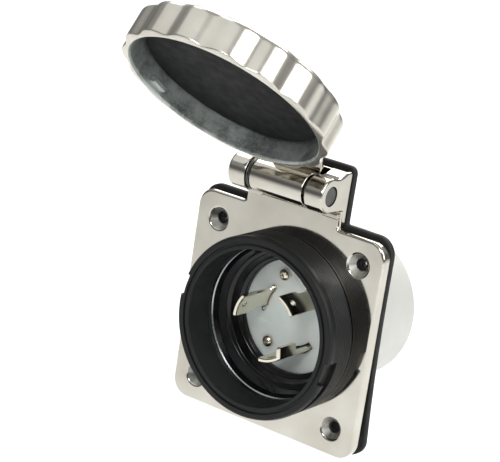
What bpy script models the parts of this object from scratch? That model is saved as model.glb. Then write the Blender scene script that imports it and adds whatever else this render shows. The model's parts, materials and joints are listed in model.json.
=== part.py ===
"""Flush-mounted power inlet with a hinged bayonet cap.

The stainless flange sits on a panel (the panel face is the plane Y = 0, the room side is -Y).
A black collar on the front takes the cap, three locking blades stand in the middle of it, and a
white rear enclosure covers the wiring behind the panel. The lid is modelled closed, then turned
open about the hinge pin. All lengths below are millimetres; the scene is in metres.
"""
import math

import bmesh
import bpy
from mathutils import Matrix, Vector

MM = 0.001
GAP = 0.3                   # clearance kept wherever two parts meet
REACH = 3.0                 # how far a cutter runs past the faces it cuts

# ---- overall sizes -------------------------------------------------------------------------
FACE = -7.5                 # Y of the flange front face (the panel face is Y = 0)
FLANGE_SIDE = 92.0
FLANGE_CORNER = 7.5
FLANGE_THICK = 4.5
EDGE_ROUND = 1.8
HOLE_SPACING = 69.3         # mounting holes, square pattern
HOLE_RADIUS = 2.4
COUNTERSINK_RADIUS = 4.9
COUNTERSINK_DEPTH = 2.9
BODY_HOLE = 34.7            # round opening in the flange
GASKET_HOLE = 41.2

# ---- hinge ---------------------------------------------------------------------------------
HINGE_Y = FACE - 9.2
HINGE_Z = 60.9
OPEN_ANGLE = math.radians(128.2)
KNUCKLE_RADIUS = 7.2
KNUCKLES = ((-23.0, -14.4), (14.8, 23.0))
BARREL = (-12.1, 13.2)
BARREL_RADIUS = 6.9
PIN_RADIUS = 3.8
PIN_HOLE = 4.1
BRACKET_HALF = 23.0
BRACKET_TOP = 69.4
BRACKET_FRONT = FACE + 0.8
TAB_HALF = 22.5
TAB_TOP = 51.9
TAB_RELIEF = (14.5, 50.7)   # half width and height of the lower middle stretch of the tab

# ---- collar and insulator ------------------------------------------------------------------
COLLAR_RADIUS = 38.0
COLLAR_BORE = 32.3
COLLAR_SEAT = 34.5          # wider end of the bore, over the neck of the insulator
COLLAR_LENGTH = 15.3
NOTCH_FLOOR = 36.2
NOTCH_ANGLES = (167.5, -12.5)
NOTCH_HALF = 7.5
LUG_HALF = 5.5
LUG_RADIUS = 36.8
LUG_TRAVEL = 62.0
CHANNEL = (FACE - 12.7, FACE - 8.8)
NECK_FRONT = FACE - 1.5     # front end of the insulator's neck, inside the collar
CARRIER_FACE = FACE + 14.5
CARRIER_RADIUS = 26.0
CARRIER_OPENING = 24.1
CARRIER_THICK = 6.5
BLOCK_RADIUS = 22.5
BLOCK_LENGTH = 19.0
RIM_RADIUS = 40.6           # insulator rim behind the flange

# ---- cap -----------------------------------------------------------------------------------
CAP_BORE = 39.5
CAP_LIP = 41.0
CAP_LOBE = 43.4
CAP_GROOVE = 41.7
CAP_LOBES = 16
CAP_HEIGHT = 15.5
CAP_WALL_BACK = 2.0
MOUTH = 1.75                # closed: how far the mouth lies behind the hinge axis
SEAL_DEPTH = 8.2
SEAL_RADIUS = 37.2
PIVOT_HOLE = 3.3
ARM_THICK = 2.0
ARM_GAP = 15.2              # from the hinge axis forward to the under side of the arm
ARM_END = 11.5              # radius of the arm's round end
ARM_LEAN = math.radians(38.2)   # slope of the arm where it leaves the barrel, lid closed

# ---- blades --------------------------------------------------------------------------------
BLADE_RADIUS = 14.7
BLADE_THICK = 1.7
BLADE_TIP = FACE - 7.8
BLADE_HEAD = 11.0
BLADE_TAIL = CARRIER_FACE + 11.5
TERMINAL = (BLADE_TAIL + GAP, BLADE_TAIL + 12.0)
HOT = (162.0, 20.0)         # middle angle and half span, degrees
NEUTRAL = (50.5, 19.0)
GROUND = (-68.0, 21.5)
FACE_SCREWS = (114.0, -126.0, -6.0)
FACE_SCREW_CIRCLE = 17.6
SCREW_BORE = 1.6

# ---- rear enclosure ------------------------------------------------------------------------
COVER_RADIUS = 33.0
COVER_WALL = 2.0
COVER_FRONT = 0.4
COVER_END = FACE + 58.0
CABLE_BORE = 9.3
LONG_SCREWS = (90.0, -90.0)
LONG_SCREW_CIRCLE = 28.4
CLAMP_SCREW_X = 12.0
CLAMP_SCREW_Y = 6.5         # behind the end wall


# ---- materials -----------------------------------------------------------------------------
def material(name, color, roughness, metallic=0.0):
    mat = bpy.data.materials.new(name)
    mat.use_nodes = True
    shader = mat.node_tree.nodes["Principled BSDF"]
    shader.inputs["Base Color"].default_value = (*color, 1.0)
    shader.inputs["Roughness"].default_value = roughness
    shader.inputs["Metallic"].default_value = metallic
    mat.diffuse_color = (*color, 1.0)
    return mat


def make_materials():
    table = {
        "polished_steel": ((0.60, 0.58, 0.53), 0.14, 1.0),
        "satin_steel": ((0.62, 0.60, 0.56), 0.24, 1.0),
        "pin_steel": ((0.14, 0.14, 0.14), 0.45, 0.8),
        "spring_steel": ((0.20, 0.20, 0.19), 0.35, 1.0),
        "nickel_plate": ((0.72, 0.69, 0.60), 0.18, 1.0),
        "brass": ((0.62, 0.43, 0.17), 0.28, 1.0),
        "black_plastic": ((0.018, 0.018, 0.019), 0.50, 0.0),
        "gloss_black_plastic": ((0.010, 0.010, 0.011), 0.16, 0.0),
        "black_rubber": ((0.014, 0.014, 0.014), 0.75, 0.0),
        "seal_rubber": ((0.022, 0.023, 0.023), 0.60, 0.0),
        "milky_nylon": ((0.60, 0.66, 0.65), 0.38, 0.0),
        "white_plastic": ((0.74, 0.74, 0.70), 0.42, 0.0),
        "grey_nylon": ((0.30, 0.31, 0.32), 0.50, 0.0),
    }
    return {name: material(name, *values) for name, values in table.items()}


# ---- mesh helpers --------------------------------------------------------------------------
def polar(radius, degrees):
    return radius * math.cos(math.radians(degrees)), radius * math.sin(math.radians(degrees))


def finish_mesh(name, bm):
    bmesh.ops.remove_doubles(bm, verts=bm.verts, dist=1e-4)
    bmesh.ops.recalc_face_normals(bm, faces=bm.faces)
    mesh = bpy.data.meshes.new(name)
    bmesh.ops.scale(bm, vec=(MM, MM, MM), verts=bm.verts)
    bm.to_mesh(mesh)
    bm.free()
    return mesh


def add_object(name, bm, mat, origin=(0.0, 0.0, 0.0), turn=0.0):
    """Link a mesh whose coordinates are relative to origin; turn is a rotation about X."""
    obj = bpy.data.objects.new(name, finish_mesh(name, bm))
    if mat is not None:
        obj.data.materials.append(mat)
    obj.location = [value * MM for value in origin]
    obj.rotation_euler = (turn, 0.0, 0.0)
    bpy.context.scene.collection.objects.link(obj)
    return obj


def add_loft(bm, rings, closed=False):
    """Skin equal-length rings; the two ends are capped unless the loft closes on itself."""
    rows = [[bm.verts.new(point) for point in ring] for ring in rings]
    count = len(rows[0])
    pairs = list(zip(rows[:-1], rows[1:]))
    if closed:
        pairs.append((rows[-1], rows[0]))
    for lower, upper in pairs:
        for i in range(count):
            j = (i + 1) % count
            bm.faces.new((lower[i], lower[j], upper[j], upper[i]))
    if not closed:
        bm.faces.new(rows[0][::-1])
        bm.faces.new(rows[-1])


def add_revolve(bm, profile, segments, swell=None):
    """Turn a closed profile of (radius, y) or (radius, y, lobe height) points about the Y axis."""
    rings = []
    for i in range(segments):
        angle = 2.0 * math.pi * i / segments
        ring = []
        for point in profile:
            radius = point[0]
            if len(point) == 3:
                radius += point[2] * swell(angle)
            ring.append((radius * math.cos(angle), point[1], radius * math.sin(angle)))
        rings.append(ring)
    add_loft(bm, rings, closed=True)


def circle(radius, segments):
    """Points (u, v) of a circle, counter-clockwise."""
    step = 2.0 * math.pi / segments
    return [(radius * math.cos(step * i), radius * math.sin(step * i)) for i in range(segments)]


def add_disc_stack(bm, profile, segments, center=(0.0, 0.0)):
    """Solid of revolution about a Y-parallel axis through center (x, z), from (radius, y) stations."""
    add_loft(bm, [[(center[0] + u, y, center[1] + v) for u, v in circle(r, segments)] for r, y in profile])


def add_x_rod(bm, stations, segments, axis=(0.0, 0.0)):
    """Solid rod along X from (x, radius) stations."""
    add_loft(bm, [[(x, axis[0] + u, axis[1] + v) for u, v in circle(r, segments)] for x, r in stations])


def add_z_rod(bm, stations, segments, center):
    """Solid rod along Z through center (x, y), from (radius, z) stations."""
    add_loft(bm, [[(center[0] + u, center[1] + v, z) for u, v in circle(r, segments)] for r, z in stations])


def add_x_tube(bm, profile, segments):
    """Turn a closed (x, radius) profile about the X axis."""
    turns = circle(1.0, segments)
    add_loft(bm, [[(x, r * c, r * sn) for x, r in profile] for c, sn in turns], closed=True)


def add_sector(bm, r0, r1, start, end, y0, y1, steps):
    """Piece of a tube between two angles (degrees) about the Y axis."""
    rings = []
    for i in range(steps + 1):
        angle = math.radians(start + (end - start) * i / steps)
        c, s = math.cos(angle), math.sin(angle)
        rings.append([(r0 * c, y0, r0 * s), (r1 * c, y0, r1 * s), (r1 * c, y1, r1 * s), (r0 * c, y1, r0 * s)])
    add_loft(bm, rings)


def arc_points(center, radius, start, end, steps):
    points = []
    for i in range(steps + 1):
        angle = math.radians(start + (end - start) * i / steps)
        points.append((center[0] + radius * math.cos(angle), center[1] + radius * math.sin(angle)))
    return points


def inset(outline, amount):
    """Move every edge of a counter-clockwise outline inwards by amount."""
    moved = []
    count = len(outline)
    for i in range(count):
        (ax, az), (bx, bz), (cx, cz) = outline[i - 1], outline[i], outline[(i + 1) % count]
        d1 = ((bx - ax), (bz - az))
        d2 = ((cx - bx), (cz - bz))
        l1, l2 = math.hypot(*d1), math.hypot(*d2)
        n1 = (-d1[1] / l1, d1[0] / l1)
        n2 = (-d2[1] / l2, d2[0] / l2)
        scale = amount / (1.0 + n1[0] * n2[0] + n1[1] * n2[1])
        moved.append((bx + (n1[0] + n2[0]) * scale, bz + (n1[1] + n2[1]) * scale))
    return moved


def add_plate(bm, outline, back, front, rounding, steps=3):
    """Plate between two Y planes with a rounded front edge and a slightly broken back edge."""
    levels = [(back, 0.3), (back - 0.3, 0.0)]
    for i in range(steps + 1):
        angle = 0.5 * math.pi * i / steps
        levels.append((front + rounding * (1.0 - math.sin(angle)), rounding * (1.0 - math.cos(angle))))
    rings = []
    for y, amount in levels:
        ring = inset(outline, amount) if amount > 0.0 else outline
        rings.append([(x, y, z) for x, z in ring])
    add_loft(bm, rings)


def add_radial_rod(bm, stations, angle, y, segments):
    """Rod pointing away from the Y axis, from (distance, radius) stations."""
    c, sn = polar(1.0, angle)
    add_loft(bm, [[(c * distance - sn * u, y + v, sn * distance + c * u) for u, v in circle(r, segments)]
                  for distance, r in stations])


def add_turned_box(bm, radial, tangent, y0, y1, angle):
    """Box with radial (inner, outer) and half tangent sizes, placed at an angle about the Y axis."""
    c, s = math.cos(math.radians(angle)), math.sin(math.radians(angle))
    rings = []
    for y in (y0, y1):
        rings.append([(c * r - s * t, y, s * r + c * t) for r, t in (
            (radial[0], -tangent), (radial[1], -tangent), (radial[1], tangent), (radial[0], tangent))])
    add_loft(bm, rings)


def add_box(bm, low, high):
    rings = []
    for y in (low[1], high[1]):
        rings.append([(low[0], y, low[2]), (high[0], y, low[2]), (high[0], y, high[2]), (low[0], y, high[2])])
    add_loft(bm, rings)


def boolean(target, name, bm, operation):
    """Attach a live boolean that uses a hidden cutter or filler mesh sharing target's frame."""
    tool = add_object(name, bm, None)
    tool.location = target.location
    tool.rotation_euler = target.rotation_euler
    tool.hide_render = True
    tool.display_type = "WIRE"
    mod = target.modifiers.new(name, "BOOLEAN")
    mod.operation = operation
    mod.solver = "EXACT"
    mod.object = tool


# ---- flange, bracket and gasket ------------------------------------------------------------
def flange_outline(grow=0.0):
    """Square with round corners and the hinge tab on top, counter-clockwise in (x, z)."""
    half = FLANGE_SIDE / 2.0 + grow
    r = FLANGE_CORNER
    fillet = 2.2
    relief_half, relief_top = TAB_RELIEF
    points = arc_points((half - r, -half + r), r, -90, 0, 5)
    points += arc_points((half - r, half - r), r, 0, 90, 5)
    points += arc_points((TAB_HALF + fillet, half + fillet), fillet, -90, -180, 3)
    points += [(TAB_HALF, TAB_TOP), (relief_half, TAB_TOP), (relief_half, relief_top)]
    points += [(-relief_half, relief_top), (-relief_half, TAB_TOP), (-TAB_HALF, TAB_TOP)]
    points += arc_points((-TAB_HALF - fillet, half + fillet), fillet, 0, -90, 3)
    points += arc_points((-half + r, half - r), r, 90, 180, 5)
    points += arc_points((-half + r, -half + r), r, 180, 270, 5)
    return points


def bracket_outline(extra=0.0):
    half, top, r = BRACKET_HALF + extra, BRACKET_TOP + extra, 2.5
    points = [(-half, 42.0), (half, 42.0)]
    points += arc_points((half - r, top - r), r, 0, 90, 3)
    points += arc_points((-half + r, top - r), r, 90, 180, 3)
    return points


def add_knuckle(bm, x0, x1):
    """Round knuckle joined to the bracket plate by a full-height web."""
    profile = [(FACE + 2.5, HINGE_Z - KNUCKLE_RADIUS)]
    profile += arc_points((HINGE_Y, HINGE_Z), KNUCKLE_RADIUS, 270, 90, 18)
    profile += [(FACE + 2.5, BRACKET_TOP - 0.3)]
    shrunk = [(HINGE_Y + (y - HINGE_Y) * 0.94, HINGE_Z + (z - HINGE_Z) * 0.94) for y, z in profile]
    stations = ((x0, shrunk), (x0 + 0.5, profile), (x1 - 0.5, profile), (x1, shrunk))
    add_loft(bm, [[(x, y, z) for y, z in ring] for x, ring in stations])


def build_flange(mats):
    bm = bmesh.new()
    add_plate(bm, flange_outline(), FACE + FLANGE_THICK, FACE, EDGE_ROUND)
    flange = add_object("flange", bm, mats["polished_steel"])

    bm = bmesh.new()
    add_plate(bm, bracket_outline(), FACE + FLANGE_THICK, BRACKET_FRONT, 0.4, 2)
    boolean(flange, "fill_bracket", bm, "UNION")
    for index, (x0, x1) in enumerate(KNUCKLES):
        bm = bmesh.new()
        add_knuckle(bm, x0, x1)
        boolean(flange, "fill_knuckle_%d" % index, bm, "UNION")

    bm = bmesh.new()
    add_disc_stack(bm, [(BODY_HOLE, FACE - REACH), (BODY_HOLE, FACE + FLANGE_THICK + REACH)], 64)
    half = HOLE_SPACING / 2.0
    for x in (-half, half):
        for z in (-half, half):
            add_disc_stack(bm, [
                (COUNTERSINK_RADIUS + 1.0, FACE - 1.0), (COUNTERSINK_RADIUS, FACE + 0.25),
                (HOLE_RADIUS, FACE + COUNTERSINK_DEPTH),
                (HOLE_RADIUS, FACE + FLANGE_THICK + REACH)], 20, (x, z))
    boolean(flange, "cut_openings", bm, "DIFFERENCE")

    bm = bmesh.new()
    add_x_rod(bm, [(-26.0, PIN_HOLE), (26.0, PIN_HOLE)], 24, (HINGE_Y, HINGE_Z))
    boolean(flange, "cut_pin_hole", bm, "DIFFERENCE")


def build_gasket(mats):
    """Flat rubber sheet between the flange and the panel, carried up behind the bracket."""
    bm = bmesh.new()
    back, front = 0.0, FACE + FLANGE_THICK + GAP
    half, r, tab = FLANGE_SIDE / 2.0 + 0.4, FLANGE_CORNER, BRACKET_HALF + 0.6
    ledge, top = FLANGE_SIDE / 2.0 + 1.6, BRACKET_TOP + 1.7
    outline = arc_points((half - r, -half + r), r, -90, 0, 5)
    outline += arc_points((half - r, ledge - r), r, 0, 90, 5)
    outline += [(tab, ledge)]
    outline += arc_points((tab - 3.0, top - 3.0), 3.0, 0, 90, 4)
    outline += arc_points((-tab + 3.0, top - 3.0), 3.0, 90, 180, 4)
    outline += [(-tab, ledge)]
    outline += arc_points((-half + r, ledge - r), r, 90, 180, 5)
    outline += arc_points((-half + r, -half + r), r, 180, 270, 5)
    add_loft(bm, [[(x, y, z) for x, z in outline] for y in (back, front)])
    gasket = add_object("flange_gasket", bm, mats["black_rubber"])

    bm = bmesh.new()
    add_disc_stack(bm, [(GASKET_HOLE, front - REACH), (GASKET_HOLE, back + REACH)], 56)
    half = HOLE_SPACING / 2.0
    for x in (-half, half):
        for z in (-half, half):
            ends = (front - REACH, back + REACH)
            add_disc_stack(bm, [(HOLE_RADIUS + GAP, y) for y in ends], 12, (x, z))
    boolean(gasket, "cut_gasket", bm, "DIFFERENCE")


# ---- collar and insulating body ------------------------------------------------------------
def build_collar(mats):
    front, base = FACE - COLLAR_LENGTH, FACE - GAP
    shoulder = NECK_FRONT - GAP
    profile = [
        (COLLAR_SEAT, base), (COLLAR_RADIUS, base), (COLLAR_RADIUS, front + 1.2),
        (COLLAR_RADIUS - 1.2, front),
        (35.1, front), (34.9, front + 0.5), (34.1, front + 0.5), (33.9, front),
        (COLLAR_BORE + 0.4, front), (COLLAR_BORE, front + 0.4), (COLLAR_BORE, shoulder),
        (COLLAR_SEAT, shoulder)]
    bm = bmesh.new()
    add_revolve(bm, profile, 72)
    collar = add_object("threaded_collar", bm, mats["black_plastic"])

    bm = bmesh.new()
    outside = COLLAR_RADIUS + REACH
    for middle in NOTCH_ANGLES:
        add_sector(bm, NOTCH_FLOOR, outside, middle - NOTCH_HALF, middle + NOTCH_HALF, front - REACH,
                   CHANNEL[0] + 0.6, 6)
    boolean(collar, "cut_notches", bm, "DIFFERENCE")
    bm = bmesh.new()
    for middle in NOTCH_ANGLES:
        add_sector(bm, NOTCH_FLOOR, outside, middle - LUG_TRAVEL, middle + NOTCH_HALF, CHANNEL[0],
                   CHANNEL[1], 24)
    boolean(collar, "cut_lug_channels", bm, "DIFFERENCE")


def build_insulator(mats):
    """Black moulded body: neck through the flange, clamped rim behind it, stepped bore inside."""
    profile = [
        (COLLAR_BORE, NECK_FRONT), (34.2, NECK_FRONT), (34.2, FACE + FLANGE_THICK + GAP),
        (RIM_RADIUS, FACE + FLANGE_THICK + GAP), (RIM_RADIUS, -GAP), (30.5, -GAP), (30.5, 1.2), (29.0, 1.2),
        (29.0, 4.0), (30.5, 4.0), (30.5, FACE + 24.0),
        (26.4, FACE + 24.0), (26.4, CARRIER_FACE - GAP), (CARRIER_OPENING, CARRIER_FACE - GAP),
        (CARRIER_OPENING, CARRIER_FACE - 2.4), (26.0, CARRIER_FACE - 3.2), (27.6, FACE + 7.8),
        (29.2, FACE + 7.2), (30.6, FACE + 3.0), (31.4, FACE + 1.1), (COLLAR_BORE, FACE + 0.6)]
    bm = bmesh.new()
    add_revolve(bm, profile, 48)
    body = add_object("insulator_body", bm, mats["gloss_black_plastic"])

    bm = bmesh.new()
    for angle in LONG_SCREWS:
        x, z = polar(LONG_SCREW_CIRCLE, angle)
        add_disc_stack(bm, [(1.35, FACE + 16.0), (1.35, FACE + 27.0)], 16, (x, z))
    boolean(body, "cut_screw_bores", bm, "DIFFERENCE")


def build_seal_ring(mats):
    """Round-section ring lying in the groove of the insulator body, inside the rear cover."""
    bm = bmesh.new()
    profile = [(30.0 + 0.68 * math.cos(math.pi * i / 3.0), 2.6 + 0.95 * math.sin(math.pi * i / 3.0))
               for i in range(6)]
    add_revolve(bm, profile, 40)
    add_object("body_seal_ring", bm, mats["black_rubber"])


# ---- blades, carrier and terminals ---------------------------------------------------------
def blade_section(middle, half, y, thick=BLADE_THICK):
    """Curved blade cross-section at one Y."""
    steps = 6
    outer = arc_points((0.0, 0.0), BLADE_RADIUS + thick / 2.0, middle - half, middle + half, steps)
    inner = arc_points((0.0, 0.0), BLADE_RADIUS - thick / 2.0, middle + half, middle - half, steps)
    return [(x, y, z) for x, z in outer + inner]


def ground_section(y, hook, half, thick=BLADE_THICK):
    """Curved blade cross-section whose upper end is bent inwards by the given length."""
    steps = 6
    end = GROUND[0] + half
    lean = (-0.15, 0.989)
    outer = arc_points((0.0, 0.0), BLADE_RADIUS + thick / 2.0, GROUND[0] - half, end, steps)
    inner = arc_points((0.0, 0.0), BLADE_RADIUS - thick / 2.0, end - 3.6, GROUND[0] - half, steps)
    tip = (outer[-1][0] + lean[0] * (hook + 0.9), outer[-1][1] + lean[1] * (hook + 0.9))
    heel = (inner[0][0] + lean[0] * hook, inner[0][1] + lean[1] * hook)
    return [(x, y, z) for x, z in outer + [tip, heel] + inner]


def cut_blade_hole(blade, angle):
    bm = bmesh.new()
    add_radial_rod(bm, [(BLADE_RADIUS - 5.0, 1.45), (BLADE_RADIUS + 5.0, 1.45)], angle, BLADE_TIP + 4.2, 20)
    boolean(blade, "cut_hole_" + blade.name, bm, "DIFFERENCE")


def build_blades(mats):
    shoulder = BLADE_TIP + BLADE_HEAD
    for name, (middle, half) in (("blade_hot", HOT), ("blade_neutral", NEUTRAL)):
        neck, shift = half - 2.6, -2.6
        bm = bmesh.new()
        add_loft(bm, [
            blade_section(middle, half - 1.2, BLADE_TIP, BLADE_THICK - 0.6),
            blade_section(middle, half, BLADE_TIP + 0.8),
            blade_section(middle, half, shoulder),
            blade_section(middle + shift, neck, shoulder + 0.6),
            blade_section(middle + shift, neck, BLADE_TAIL)])
        cut_blade_hole(add_object(name, bm, mats["nickel_plate"]), middle)

    bm = bmesh.new()
    add_loft(bm, [
        ground_section(BLADE_TIP, 3.4, GROUND[1] - 0.8, BLADE_THICK - 0.6),
        ground_section(BLADE_TIP + 0.8, 3.9, GROUND[1]),
        ground_section(shoulder, 3.9, GROUND[1]),
        ground_section(shoulder + 0.6, 0.5, GROUND[1]),
        ground_section(BLADE_TAIL, 0.5, GROUND[1])])
    cut_blade_hole(add_object("blade_ground", bm, mats["nickel_plate"]), GROUND[0] - 6.0)


def add_blade_slots(bm, y0, y1):
    """Clearance slots for the three blade necks."""
    inner, outer = BLADE_RADIUS - 1.2, BLADE_RADIUS + 1.2
    for middle, half in (HOT, NEUTRAL):
        add_sector(bm, inner, outer, middle - half - 1.4, middle + half - 3.8, y0, y1, 8)
    add_sector(bm, inner - 0.9, outer, GROUND[0] - GROUND[1] - 1.4, GROUND[0] + GROUND[1] + 3.4, y0, y1, 8)


def build_carrier(mats):
    """Milky disc that holds the blades, and the moulded terminal block behind it."""
    back = CARRIER_FACE + CARRIER_THICK
    bm = bmesh.new()
    add_disc_stack(bm, [(CARRIER_RADIUS, back), (CARRIER_RADIUS, CARRIER_FACE)], 64)
    carrier = add_object("blade_carrier", bm, mats["milky_nylon"])
    bm = bmesh.new()
    add_blade_slots(bm, CARRIER_FACE - REACH, back + REACH)
    for angle in FACE_SCREWS:
        ends = (CARRIER_FACE - REACH, back + REACH)
        add_disc_stack(bm, [(SCREW_BORE, y) for y in ends], 16, polar(FACE_SCREW_CIRCLE, angle))
    boolean(carrier, "cut_carrier", bm, "DIFFERENCE")

    front = back + GAP
    bm = bmesh.new()
    add_disc_stack(bm, [(BLOCK_RADIUS, front), (BLOCK_RADIUS, front + BLOCK_LENGTH)], 48)
    block = add_object("terminal_block", bm, mats["grey_nylon"])
    bm = bmesh.new()
    add_blade_slots(bm, front - REACH, TERMINAL[0])
    for angle in FACE_SCREWS:
        ends = (front - REACH, front + 8.0)
        add_disc_stack(bm, [(SCREW_BORE, y) for y in ends], 16, polar(FACE_SCREW_CIRCLE, angle))
    boolean(block, "cut_block_slots", bm, "DIFFERENCE")
    bm = bmesh.new()
    for angle in terminal_angles():
        add_turned_box(bm, (9.8, 19.6), 5.0, TERMINAL[0] - GAP, front + BLOCK_LENGTH + REACH, angle)
    boolean(block, "cut_block_pockets", bm, "DIFFERENCE")
    bm = bmesh.new()
    for angle in terminal_angles():
        add_radial_rod(bm, [(17.0, 3.1), (BLOCK_RADIUS + REACH, 3.1)], angle, terminal_middle(), 18)
    boolean(block, "cut_block_access", bm, "DIFFERENCE")


def terminal_angles():
    return HOT[0], NEUTRAL[0], GROUND[0]


def terminal_middle():
    return TERMINAL[0] + 4.2


def build_terminals(mats):
    """Brass clamp behind each blade, with its wire bore and radial clamping screw."""
    for index, angle in enumerate(terminal_angles(), 1):
        bm = bmesh.new()
        add_turned_box(bm, (10.3, 18.9), 4.6, TERMINAL[0], TERMINAL[1], angle)
        terminal = add_object("terminal_%d" % index, bm, mats["brass"])
        bm = bmesh.new()
        add_disc_stack(bm, [(2.3, TERMINAL[0] + 1.6), (2.3, TERMINAL[1] + REACH)], 18, polar(13.6, angle))
        boolean(terminal, "cut_wire_bore_%d" % index, bm, "DIFFERENCE")
        bm = bmesh.new()
        add_radial_rod(bm, [(14.0, 1.75), (23.0, 1.75)], angle, terminal_middle(), 16)
        boolean(terminal, "cut_screw_bore_%d" % index, bm, "DIFFERENCE")

        bm = bmesh.new()
        add_radial_rod(bm, [(15.4, 1.2), (15.8, 1.45), (19.2, 1.45), (19.2, 2.7), (21.2, 2.7), (21.6, 2.3)],
                       angle, terminal_middle(), 12)
        screw = add_object("terminal_screw_%d" % index, bm, mats["nickel_plate"])
        bm = bmesh.new()
        add_slot_cutter(bm, angle)
        boolean(screw, "cut_driver_slot_%d" % index, bm, "DIFFERENCE")


def add_slot_cutter(bm, angle):
    """Straight driver slot across a radial screw head."""
    y = terminal_middle()
    add_turned_box(bm, (20.7, 24.0), 4.0, y - 0.35, y + 0.35, angle)


def add_cross_cutter(bm, x, z, face, depth):
    """Plus-shaped driver recess cut from the -Y side."""
    arm, bar = 1.35, 0.36
    outline = [(bar, -arm), (bar, -bar), (arm, -bar), (arm, bar), (bar, bar), (bar, arm),
               (-bar, arm), (-bar, bar), (-arm, bar), (-arm, -bar), (-bar, -bar), (-bar, -arm)]
    rings = [[(x + u, y, z + v) for u, v in outline] for y in (face - REACH, face + depth)]
    add_loft(bm, rings)


def build_face_screws(mats):
    """Cross-head screws through the carrier into the terminal block."""
    for index, angle in enumerate(FACE_SCREWS, 1):
        x, z = polar(FACE_SCREW_CIRCLE, angle)
        head = CARRIER_FACE - GAP
        bm = bmesh.new()
        add_disc_stack(bm, [
            (1.1, head - 1.9), (1.9, head - 1.6), (2.4, head - 0.9), (2.5, head), (1.25, head),
            (1.25, head + CARRIER_THICK + 6.5), (0.7, head + CARRIER_THICK + 7.2)], 14, (x, z))
        screw = add_object("face_screw_%d" % index, bm, mats["nickel_plate"])
        bm = bmesh.new()
        add_cross_cutter(bm, x, z, head - 1.9, 1.1)
        boolean(screw, "cut_cross_%d" % index, bm, "DIFFERENCE")


# ---- rear enclosure ------------------------------------------------------------------------
def add_saddle_block(bm, z0, z1):
    add_box(bm, (-15.0, COVER_END - 1.0, z0), (15.0, COVER_END + 13.0, z1))


def add_cable_bore(bm, radius):
    add_disc_stack(bm, [(radius, COVER_END - 6.0), (radius, COVER_END + 17.0)], 28)


def build_cover(mats):
    inner = COVER_RADIUS - COVER_WALL
    profile = [
        (inner, COVER_FRONT), (COVER_RADIUS, COVER_FRONT), (COVER_RADIUS, COVER_END - 1.4),
        (COVER_RADIUS - 0.4, COVER_END - 0.4), (COVER_RADIUS - 1.4, COVER_END), (4.0, COVER_END),
        (4.0, COVER_END - 2.5), (inner, COVER_END - 2.5)]
    bm = bmesh.new()
    add_revolve(bm, profile, 64)
    cover = add_object("rear_cover", bm, mats["white_plastic"])
    bm = bmesh.new()
    add_saddle_block(bm, -13.0, -0.4)
    boolean(cover, "fill_saddle", bm, "UNION")
    bm = bmesh.new()
    add_cable_bore(bm, CABLE_BORE)
    for angle in LONG_SCREWS:
        ends = (COVER_END - 6.0, COVER_END + REACH)
        add_disc_stack(bm, [(1.7, y) for y in ends], 12, polar(LONG_SCREW_CIRCLE, angle))
    add_clamp_bores(bm, -9.0, 4.0, 1.3)
    boolean(cover, "cut_cover", bm, "DIFFERENCE")

    for index, angle in enumerate(LONG_SCREWS, 1):
        bm = bmesh.new()
        add_disc_stack(bm, [
            (1.0, FACE + 17.0), (1.15, FACE + 18.0), (1.15, COVER_END + GAP), (2.7, COVER_END + GAP),
            (2.7, COVER_END + 1.6), (1.9, COVER_END + 2.3)], 18, polar(LONG_SCREW_CIRCLE, angle))
        add_object("cover_screw_%d" % index, bm, mats["nickel_plate"])


def clamp_screw_places():
    return [(side * CLAMP_SCREW_X, COVER_END + CLAMP_SCREW_Y) for side in (-1.0, 1.0)]


def add_clamp_bores(bm, z0, z1, radius):
    for center in clamp_screw_places():
        add_z_rod(bm, [(radius, z0), (radius, z1)], 16, center)


def build_cable_clamp(mats):
    bm = bmesh.new()
    add_revolve(bm, [(6.0, COVER_END - 4.0), (9.0, COVER_END - 4.0), (9.0, COVER_END + 3.0),
                     (6.0, COVER_END + 3.0)], 32)
    add_object("cable_grommet", bm, mats["black_rubber"])

    bm = bmesh.new()
    add_box(bm, (-15.0, COVER_END + 3.6, 0.4), (15.0, COVER_END + 12.6, 10.0))
    bar = add_object("cable_clamp_bar", bm, mats["white_plastic"])
    bm = bmesh.new()
    add_cable_bore(bm, 6.4)
    boolean(bar, "cut_bar_saddle", bm, "DIFFERENCE")
    bm = bmesh.new()
    add_clamp_bores(bm, -4.0, 14.0, 1.75)
    boolean(bar, "cut_bar_bores", bm, "DIFFERENCE")

    for index, center in enumerate(clamp_screw_places(), 1):
        bm = bmesh.new()
        add_z_rod(bm, [(0.7, -8.0), (1.0, -7.4), (1.0, 10.3), (2.5, 10.3), (2.5, 11.6), (1.7, 12.3)], 16,
                  center)
        add_object("clamp_screw_%d" % index, bm, mats["nickel_plate"])


# ---- hinge pin and lid ---------------------------------------------------------------------
def build_pin(mats):
    bm = bmesh.new()
    add_x_rod(bm, [(-22.7, 3.3), (-22.3, PIN_RADIUS), (22.3, PIN_RADIUS), (22.7, 3.3)], 24)
    add_object("hinge_pin", bm, mats["pin_steel"], (0.0, HINGE_Y, HINGE_Z))

    bm = bmesh.new()
    add_x_tube(bm, [(-14.0, 4.15), (-14.0, 6.5), (-13.5, 6.5), (-13.5, 4.15)], 28)
    add_object("hinge_washer", bm, mats["spring_steel"], (0.0, HINGE_Y, HINGE_Z))

    rings = []
    for i in range(36):
        angle = 2.0 * math.pi * i / 36
        x = -12.8 + 0.17 * math.cos(2.0 * angle + 0.6)
        rings.append([(x + dx, r * math.cos(angle), r * math.sin(angle))
                      for dx, r in ((-0.17, 4.15), (-0.17, 6.7), (0.17, 6.7), (0.17, 4.15))])
    bm = bmesh.new()
    add_loft(bm, rings, closed=True)
    add_object("wave_washer", bm, mats["spring_steel"], (0.0, HINGE_Y, HINGE_Z))


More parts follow.
